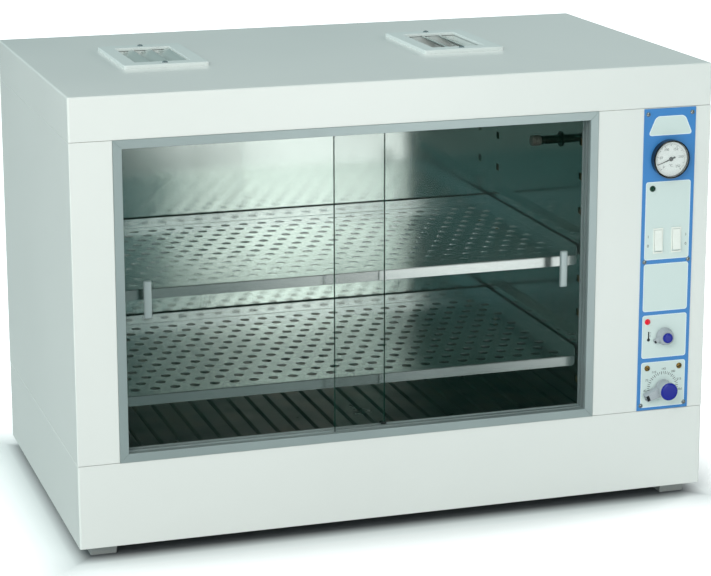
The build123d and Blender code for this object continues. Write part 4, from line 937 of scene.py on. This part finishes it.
def make_plate():
    """The blue plate's pale fields, their outlines, the bare badge place and the printed marks."""
    softened("control_plate_sheet", "control_plate", "plate_paint", FINE_EDGE)
    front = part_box("control_plate")[0].y
    place = on_front(0.0, front, 0.0)
    fields, lines = bmesh.new(), bmesh.new()
    left, right = FIELD_SIDES
    for bottom, top in FIELD_HEIGHTS:
        outlined_field(fields, lines, place, (left, bottom), (right, top), FIELD_CORNER, FIELD_LINE)
    outlined_field(fields, lines, place, BADGE_LOW, BADGE_HIGH, 0.006, 0.0012, BADGE_SLANT)
    piece("plate_fields", fields, "casing", "field_paint")
    piece("plate_outlines", lines, "casing", "outline_ink")

    ink = bmesh.new()
    height = sizes().print_height
    level = front - sizes().field_height
    printed_scale(ink, on_front(CONTROL_X, level, THERMOSTAT_Z), **THERMOSTAT_SCALE)
    for x in (0.3995, 0.4630):
        for z, mark in ((0.4265, "I"), (0.4120, "0")):
            letters(ink, mark, 0.0062, on_front(x, level, z), height)
    printed_bar(ink, on_front(SIGN_X, level, SIGN_BULB_Z), (-0.0011, 0.0005), (0.0011, 0.0130))
    disc = [(0.0, height), (0.0026, height), (0.0026, 0.0), (0.0, 0.0)]
    add_mesh(ink, turned(disc, None, 24), on_front(SIGN_X, level, SIGN_BULB_Z))
    for step in range(4):
        tick = on_front(SIGN_X, level, SIGN_BULB_Z + 0.0050 + 0.0023 * step)
        printed_bar(ink, tick, (0.0018, -0.00025), (0.0036, 0.00025))
    piece("plate_marks", ink, "casing", "black_ink")


# Thermometer
BEZEL_RADIUS = 0.0300
BEZEL_WELL = 0.0060
DIAL_RADIUS = 0.0268
DIAL_GLASS = 0.0272
DIAL_SCALE = {
    "arc": (225.0, 270.0, 50, 5),
    "tick": (0.0222, 0.00017),
    "mark": (0.0206, 0.00030),
    "end": 0.0240,
    "numbers": range(0, 251, 50),
    "letter_size": 0.0056,
    "letter_radius": 0.0168,
}
NEEDLE_REST = 249.0
NEEDLE_REACH, NEEDLE_TAIL = 0.0238, 0.0075
NEEDLE_ROOT, NEEDLE_TAIL_HALF, NEEDLE_TIP = 0.0011, 0.0014, 0.0002
HUB_RADIUS = 0.0035


def make_thermometer():
    """Bezel, printed dial, needle with its hub and the glass of the dial thermometer."""
    front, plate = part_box("thermometer_case")[0].y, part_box("control_plate")[0].y
    centre = middle_of("thermometer_case")
    x, z = centre.x, centre.z
    deep = plate - front
    bezel = [
        (0.0, 0.0), (BEZEL_RADIUS, 0.0), (BEZEL_RADIUS, deep - 0.0016),
        (BEZEL_RADIUS - 0.0007, deep - 0.0004), (BEZEL_RADIUS - 0.0018, deep),
        (BEZEL_RADIUS - 0.0024, deep - 0.0006), (DIAL_GLASS, deep - BEZEL_WELL),
        (0.0, deep - BEZEL_WELL),
    ]
    bm = turned(bezel, on_front(x, plate, z), 96)
    can = [(0.0, 0.0), (0.0248, 0.0), (0.0248, -0.022), (0.0, -0.022)]
    add_mesh(bm, turned(can, None, 48), on_front(x, plate, z))
    piece("thermometer_bezel", bm, "casing", "bezel_black", ["thermometer_case"])

    face = front + BEZEL_WELL
    disc = [(0.0, 0.0006), (DIAL_RADIUS, 0.0006), (DIAL_RADIUS, 0.0), (0.0, 0.0)]
    bm = turned(disc, on_front(x, face, z), 64)
    piece("dial_face", bm, "casing", "dial_white", ["thermometer_dial"])

    ink = bmesh.new()
    printed_at = on_front(x, face - 0.0006, z)
    height = sizes().print_height
    printed_scale(ink, printed_at, **DIAL_SCALE)
    letters(ink, "°C", 0.0058, printed_at @ Matrix.Translation((0.0, -0.0105, 0.0)), height)
    piece("dial_marks", ink, "casing", "black_ink")

    needle = bmesh.new()
    outline = [
        (-NEEDLE_TAIL_HALF, -NEEDLE_TAIL), (NEEDLE_TAIL_HALF, -NEEDLE_TAIL), (NEEDLE_ROOT, 0.0),
        (NEEDLE_TIP, NEEDLE_REACH), (-NEEDLE_TIP, NEEDLE_REACH), (-NEEDLE_ROOT, 0.0),
    ]
    needle.faces.new([needle.verts.new((px, py, 0.0)) for px, py in outline])
    thicken(needle, needle.faces[:], 0.0006)
    bmesh.ops.transform(needle, matrix=clockwise(NEEDLE_REST), verts=needle.verts[:])
    hub = [(0.0, 0.0011), (0.0022, 0.0011), (0.0032, 0.0008), (HUB_RADIUS, 0.0), (0.0, 0.0)]
    add_mesh(needle, turned(hub, None, 32), Matrix.Identity(4))
    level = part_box("thermometer_needle")[0].y + 0.0009
    bmesh.ops.transform(needle, matrix=on_front(x, level, z), verts=needle.verts[:])
    piece("dial_needle", needle, "needle", "needle_black", ["thermometer_needle"])

    edge = DIAL_GLASS - 0.0017
    glass = [(0.0, 0.0), (DIAL_GLASS, 0.0), (DIAL_GLASS, 0.0012), (edge, 0.0017), (0.0, 0.0019)]
    bm = turned(glass, on_front(x, front + 0.0022, z), 64)
    piece("dial_window", bm, "casing", "clear_lens", ["thermometer_lens"])


# Lamps and switches
LAMP_COLLAR = 0.0048
RIM_EDGE = 0.0006
KEY_EDGE = 0.0005


def make_lamps():
    """Two small lamps: a collar and a domed lens each."""
    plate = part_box("control_plate")[0].y
    for tone in ("green", "red"):
        node = f"{tone}_pilot_lamp"
        centre = middle_of(node)
        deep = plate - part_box(node)[0].y
        dome = [
            (0.0, deep), (0.0012, deep - 0.0001), (0.0022, deep - 0.0005), (0.0031, deep - 0.0012),
            (0.0037, deep - 0.0022), (0.0040, 0.0010), (LAMP_COLLAR - 0.0002, 0.0010),
            (LAMP_COLLAR, 0.0006), (LAMP_COLLAR, 0.0), (0.0, 0.0),
        ]
        bm = turned(dome, on_front(centre.x, plate, centre.z), 40)
        piece(f"{tone}_lamp_lens", bm, "casing", f"{tone}_lens", [node])


def make_switches():
    """Housings and rockers with rounded edges."""
    for side in SIDES:
        softened(f"{side}_switch_rim", f"{side}_switch_housing", "switch_white", RIM_EDGE, 3)
        softened(f"{side}_rocker_key", f"{side}_switch_rocker", "switch_white", KEY_EDGE, 3, 40.0)


# Knobs
POINTER_REST = 248.0
POINTER_EDGE = 0.0014


def pointer_knob(name, body, node, z, base_radius, front_radius, pointer, cap):
    """A grey knob with a skirt, a pointer at its side, a black tip and a blue cap."""
    low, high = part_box(node)
    reach, root, tip, rise = pointer
    deep = high.y - low.y
    place = on_front(CONTROL_X, high.y, z)
    turn = clockwise(POINTER_REST)
    skirt = [
        (0.0, 0.0), (base_radius, 0.0), (base_radius, 0.0012), (base_radius - 0.0008, 0.0020),
        (front_radius - 0.0007, deep - 0.0012), (front_radius - 0.0014, deep), (0.0, deep),
    ]
    bm = turned(skirt, None, 72)
    arm = bmesh.new()
    outline = [(-root / 2, 0.0), (root / 2, 0.0), (tip / 2, reach), (-tip / 2, reach)]
    arm.faces.new([arm.verts.new((px, py, 0.0)) for px, py in outline])
    thicken(arm, arm.faces[:], rise)
    rounded(arm, [e for e in arm.edges if all(v.co.z > rise - 0.0001 for v in e.verts)], POINTER_EDGE, 3)
    add_mesh(bm, arm, turn)
    bmesh.ops.transform(bm, matrix=place, verts=bm.verts[:])
    piece(name, bm, body, "knob_grey", [node])
    bar_low, bar_high = (-tip * 0.42, reach * 0.86, rise * 0.12), (tip * 0.42, reach, rise + 0.00015)
    bar = block(bmesh.new(), bar_low, bar_high, 0.0006, 3)
    bmesh.ops.transform(bar, matrix=place @ turn, verts=bar.verts[:])
    piece(f"{name}_tip", bar, body, "black_ink")
    radius, height = cap
    button = [
        (0.0, 0.0), (radius, 0.0), (radius, height * 0.45), (radius - 0.0006, height * 0.80),
        (radius - 0.0016, height * 0.96), (radius - 0.0032, height), (0.0, height * 0.9),
    ]
    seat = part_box(f"{node}_cap")[1].y
    bm = turned(button, on_front(CONTROL_X, seat, z), 72)
    piece(f"{name}_cap", bm, body, "cap_blue", [f"{node}_cap"])


def make_knobs():
    """The two pointer knobs with their blue caps."""
    pointer_knob(
        "thermostat_dial_knob",
        "thermostat_control",
        "thermostat_knob",
        THERMOSTAT_Z,
        base_radius=0.0135,
        front_radius=0.0150,
        pointer=(0.034, 0.018, 0.011, 0.012),
        cap=(0.0140, 0.003),
    )
    pointer_knob(
        "limiter_dial_knob",
        "limiter_control",
        "limiter_knob",
        LIMITER_Z,
        base_radius=0.0140,
        front_radius=0.0125,
        pointer=(0.0195, 0.011, 0.005, 0.006),
        cap=(0.0080, 0.004),
    )


# Cord gland
GLAND_FACE_Y = 0.292
GLAND_BORE = 0.0045
GLAND_THREAD = 0.0080
GLAND_NUT = 0.0126
GLAND_DOME = 0.0092


def make_gland():
    """The cord gland at the back: two hexagons, a dome nut and its bore."""
    centre = middle_of("cable_gland")
    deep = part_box("cable_gland")[1].y - GLAND_FACE_Y
    body = [
        (GLAND_BORE, deep), (0.0062, deep - 0.0003), (0.0074, deep - 0.0016),
        (0.0086, deep - 0.0050), (GLAND_DOME, 0.0085), (GLAND_DOME, 0.0062), (GLAND_THREAD, 0.0060),
        (GLAND_THREAD, -0.0105), (GLAND_BORE, -0.0105), (GLAND_BORE, deep),
    ]
    bm = turned(body, None, 48)
    for back, front in ((0.0, 0.006), (-0.0065, -0.0015)):
        nut = bmesh.new()
        place = Matrix.Translation((0.0, 0.0, back))
        bmesh.ops.create_circle(nut, cap_ends=True, segments=6, radius=GLAND_NUT, matrix=place)
        thicken(nut, nut.faces[:], front - back)
        rounded(nut, [e for e in nut.edges if e.calc_face_angle(0.0) > radians(50)], 0.0006, 2)
        add_mesh(bm, nut, Matrix.Identity(4))
    to_wall = Matrix.Translation((centre.x, GLAND_FACE_Y, centre.z)) @ TO_BACK
    bmesh.ops.transform(bm, matrix=to_wall, verts=bm.verts[:])
    piece("cord_gland_nut", bm, "casing", "gland_grey", ["cable_gland"])


def dress_nodes():
    """Gives every CAD node that stays its own finish."""
    slots = {item["node"]: item["material_slot"] for item in frame["record"]["subparts"]}
    for node, obj in NODES.items():
        obj.data.materials.clear()
        obj.data.materials.append(FINISHES[slots[node]])


# Stage
FLOOR_HALF = 14.0
FOOTPRINT = (0.50, 0.29)
GLOW_REACH = (0.012, 0.20)
# Painted shadow: the floor's colour darkens to this tone under and just round the oven
PAINTED_SHADOW_REACH = (-0.02, 0.012)
PAINTED_SHADOW_TONE = (0.14, 0.15, 0.16)
MIRRORED_FLOOR = (0.10, 0.13, 0.13)
SHEET_SHIFT = (-0.76, 0.80, 0.0)
SHEET_STRETCH = (1.0, 0.35, 1.0)
SHEET_REACH = (0.18, 0.58)
SHEET_GLOW = 1.5
SKY_ACROSS = (-0.7, 0.7)
SKY_LIGHT = (1.30, 0.14)
SKY_MIRRORED = 0.20
SKY_TONE = (0.84, 1.0, 1.0)
SKY_MIRRORED_TONE = (0.30, 0.75, 0.80)
WHITE = (1.0, 1.0, 1.0)
# Name, place, aim, width, height, watts, colour and whether the bright sheets mirror it
SOFTBOXES = (
    ("front_softbox", (-1.35, -2.35, 1.75), (-0.2, -0.2, 0.5), 1.0, 1.0, 27.0, (1.0, 0.955, 0.91), False),
    ("tall_softbox", (0.86, -3.0, 1.0), (0.0, -0.1, 0.5), 0.62, 1.9, 7.6, (1.0, 1.0, 0.97), True),
    ("far_softbox", (2.6, 0.5, 1.5), (0.0, 0.0, 0.7), 1.0, 0.8, 34.0, WHITE, False),
)
CAMERA_PLACE = (-1.128, -3.596, 1.278)
CAMERA_TURN = (76.563, 0.118, -17.525)
CAMERA_LENS = 121.9
CAMERA_SHIFT = (0.0099, -0.06)


def lay_floor():
    """A pale floor: white to the camera, with a painted shadow darkening its colour where the oven
    stands, and a bright sheet to mirror.
    """
    bm = bmesh.new()
    bmesh.ops.create_grid(bm, x_segments=1, y_segments=1, size=FLOOR_HALF)
    mesh = bpy.data.meshes.new("floor")
    bm.to_mesh(mesh)
    bm.free()
    floor = bpy.data.objects.new("floor", mesh)
    bpy.context.scene.collection.objects.link(floor)
    ground = Finish("floor_white", (0.86, 0.87, 0.87), 0.7)
    seen = ground.node("ShaderNodeLightPath", output=SEEN)
    mirrored = ground.node("ShaderNodeLightPath", output=MIRRORED)
    where = ground.node("ShaderNodeTexCoord", output=OBJECT_PLACE)
    across = ground.node("ShaderNodeSeparateXYZ", inputs={0: where}, output=0)
    along = ground.node("ShaderNodeSeparateXYZ", inputs={0: where}, output=1)
    beside = across.maths("ABSOLUTE", across) - FOOTPRINT[0]
    before = along.maths("ABSOLUTE", along) - FOOTPRINT[1]
    away = beside.maths("MAXIMUM", beside, before)
    shift = {"Vector": where, "Location": SHEET_SHIFT, "Scale": SHEET_STRETCH}
    shifted = ground.node("ShaderNodeMapping", inputs=shift)
    spread = ground.node("ShaderNodeVectorMath", {"operation": "LENGTH"}, {0: shifted}, output=1)
    sheet = ground.ranged(spread, SHEET_REACH, (SHEET_GLOW, 0.0))
    glow = ground.ranged(away, GLOW_REACH) * seen + sheet * mirrored
    # Painted shadow: the base colour goes dark under the oven's footprint
    tone = ground.between(ground.ranged(away, PAINTED_SHADOW_REACH), PAINTED_SHADOW_TONE, ground.base)
    ground.put("Base Color", ground.between(mirrored, tone, MIRRORED_FLOOR))
    ground.put("Emission Color", ground.node("ShaderNodeCombineXYZ", inputs={0: glow, 1: glow, 2: glow}))
    ground.put("Emission Strength", 1.0)
    mesh.materials.append(ground.material)


def light_world():
    """White surroundings for the camera, brighter at the left, dim and teal where they are mirrored."""
    world = bpy.data.worlds.new("studio")
    bpy.context.scene.world = world
    world.use_nodes = True
    air = Nodes(world.node_tree)
    seen = air.node("ShaderNodeLightPath", output=SEEN)
    mirrored = air.node("ShaderNodeLightPath", output=MIRRORED)
    towards = air.node("ShaderNodeTexCoord", output=GENERATED_PLACE)
    across = air.node("ShaderNodeSeparateXYZ", inputs={0: towards})
    light = air.ranged(across, SKY_ACROSS, SKY_LIGHT)
    for mask, value in ((mirrored, SKY_MIRRORED), (seen, 1.0)):
        light = air.node("ShaderNodeMix", {"data_type": "FLOAT"}, {0: mask, 2: light, 3: value})
    tone = air.between(mirrored, SKY_TONE, SKY_MIRRORED_TONE)
    tone = air.between(seen, tone, WHITE)
    background = air.tree.nodes["Background"]
    air.tree.links.new(light.socket, background.inputs["Strength"])
    air.tree.links.new(tone.socket, background.inputs["Color"])


def make_stage():
    """Floor, surroundings, three soft lamps and the camera."""
    scene = bpy.context.scene
    lay_floor()
    light_world()
    for name, place, aim, width, height, power, tone, mirrored in SOFTBOXES:
        lamp = bpy.data.lights.new(name, "AREA")
        lamp.shape = "RECTANGLE"
        lamp.size = width
        lamp.size_y = height
        lamp.energy = power
        lamp.color = tone
        holder = bpy.data.objects.new(name, lamp)
        holder.location = place
        holder.rotation_euler = (Vector(aim) - Vector(place)).to_track_quat("-Z", "Y").to_euler()
        holder.visible_glossy = mirrored
        scene.collection.objects.link(holder)
    camera = bpy.data.cameras.new("camera")
    camera.sensor_width = 36.0
    camera.lens = CAMERA_LENS
    camera.shift_x, camera.shift_y = CAMERA_SHIFT
    camera.clip_end = 100.0
    holder = bpy.data.objects.new("camera", camera)
    holder.location = CAMERA_PLACE
    holder.rotation_euler = [radians(angle) for angle in CAMERA_TURN]
    scene.collection.objects.link(holder)
    scene.camera = holder
    scene.view_settings.view_transform = "Standard"


# Operators, one for each piece or group and one for the stage
class OVEN_OT_finishes(bpy.types.Operator):
    """Make the materials"""

    bl_idname = "oven.finishes"
    bl_label = "Finishes"

    def execute(self, context):
        make_finishes()
        return {"FINISHED"}


class OVEN_OT_dress(bpy.types.Operator):
    """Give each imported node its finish"""

    bl_idname = "oven.dress"
    bl_label = "Dress frame"

    def execute(self, context):
        dress_nodes()
        return {"FINISHED"}


class OVEN_OT_casing(bpy.types.Operator):
    """Build the enamelled casing"""

    bl_idname = "oven.casing"
    bl_label = "Casing"

    def execute(self, context):
        make_casing()
        return {"FINISHED"}


class OVEN_OT_window(bpy.types.Operator):
    """Build the window frame and pulls"""

    bl_idname = "oven.window"
    bl_label = "Window"

    def execute(self, context):
        make_window()
        return {"FINISHED"}


class OVEN_OT_chamber(bpy.types.Operator):
    """Build the chamber's fittings"""

    bl_idname = "oven.chamber"
    bl_label = "Chamber"

    def execute(self, context):
        make_chamber()
        return {"FINISHED"}


class OVEN_OT_shelves(bpy.types.Operator):
    """Build the perforated shelves"""

    bl_idname = "oven.shelves"
    bl_label = "Shelves"

    def execute(self, context):
        make_shelves()
        return {"FINISHED"}


class OVEN_OT_vents(bpy.types.Operator):
    """Build the roof vents"""

    bl_idname = "oven.vents"
    bl_label = "Vents"

    def execute(self, context):
        make_vents()
        return {"FINISHED"}


class OVEN_OT_screws(bpy.types.Operator):
    """Build the screw heads"""

    bl_idname = "oven.screws"
    bl_label = "Screws"

    def execute(self, context):
        make_screws()
        return {"FINISHED"}


class OVEN_OT_plate(bpy.types.Operator):
    """Build the control plate's fields and marks"""

    bl_idname = "oven.plate"
    bl_label = "Control plate"

    def execute(self, context):
        make_plate()
        return {"FINISHED"}


class OVEN_OT_thermometer(bpy.types.Operator):
    """Build the dial thermometer"""

    bl_idname = "oven.thermometer"
    bl_label = "Thermometer"

    def execute(self, context):
        make_thermometer()
        return {"FINISHED"}


class OVEN_OT_lamps(bpy.types.Operator):
    """Build the pilot lamps"""

    bl_idname = "oven.lamps"
    bl_label = "Lamps"

    def execute(self, context):
        make_lamps()
        return {"FINISHED"}


class OVEN_OT_switches(bpy.types.Operator):
    """Build the rocker switches"""

    bl_idname = "oven.switches"
    bl_label = "Switches"

    def execute(self, context):
        make_switches()
        return {"FINISHED"}


class OVEN_OT_knobs(bpy.types.Operator):
    """Build the pointer knobs"""

    bl_idname = "oven.knobs"
    bl_label = "Knobs"

    def execute(self, context):
        make_knobs()
        return {"FINISHED"}


class OVEN_OT_gland(bpy.types.Operator):
    """Build the cord gland"""

    bl_idname = "oven.gland"
    bl_label = "Gland"

    def execute(self, context):
        make_gland()
        return {"FINISHED"}


class OVEN_OT_stage(bpy.types.Operator):
    """Build the floor, lamps and camera"""

    bl_idname = "oven.stage"
    bl_label = "Stage"

    def execute(self, context):
        make_stage()
        return {"FINISHED"}


OPERATORS = [
    OVEN_OT_finishes,
    OVEN_OT_dress,
    OVEN_OT_casing,
    OVEN_OT_window,
    OVEN_OT_chamber,
    OVEN_OT_shelves,
    OVEN_OT_vents,
    OVEN_OT_screws,
    OVEN_OT_plate,
    OVEN_OT_thermometer,
    OVEN_OT_lamps,
    OVEN_OT_switches,
    OVEN_OT_knobs,
    OVEN_OT_gland,
    OVEN_OT_stage,
]


class OVEN_PT_panel(bpy.types.Panel):
    """Lists the oven's pieces, sizes and colours."""

    bl_label = "Glassware drying oven"
    bl_idname = "OVEN_PT_panel"
    bl_space_type = "VIEW_3D"
    bl_region_type = "UI"
    bl_category = "Oven"

    def draw(self, context):
        column = self.layout.column()
        for made in OPERATORS:
            column.operator(made.bl_idname)
        for group in (context.scene.oven_sizes, context.scene.oven_colours):
            for name in group.__annotations__:
                column.prop(group, name)


CLASSES = [OvenSizes, OvenColours, *OPERATORS, OVEN_PT_panel]


def register():
    for cls in CLASSES:
        bpy.utils.register_class(cls)
    bpy.types.Scene.oven_sizes = PointerProperty(type=OvenSizes)
    bpy.types.Scene.oven_colours = PointerProperty(type=OvenColours)


def unregister():
    del bpy.types.Scene.oven_colours
    del bpy.types.Scene.oven_sizes
    for cls in reversed(CLASSES):
        bpy.utils.unregister_class(cls)


def main():
    """Builds every piece in order."""
    register()
    for made in OPERATORS:
        group, name = made.bl_idname.split(".")
        getattr(getattr(bpy.ops, group), name)()


if __name__ == "__main__":
    main()
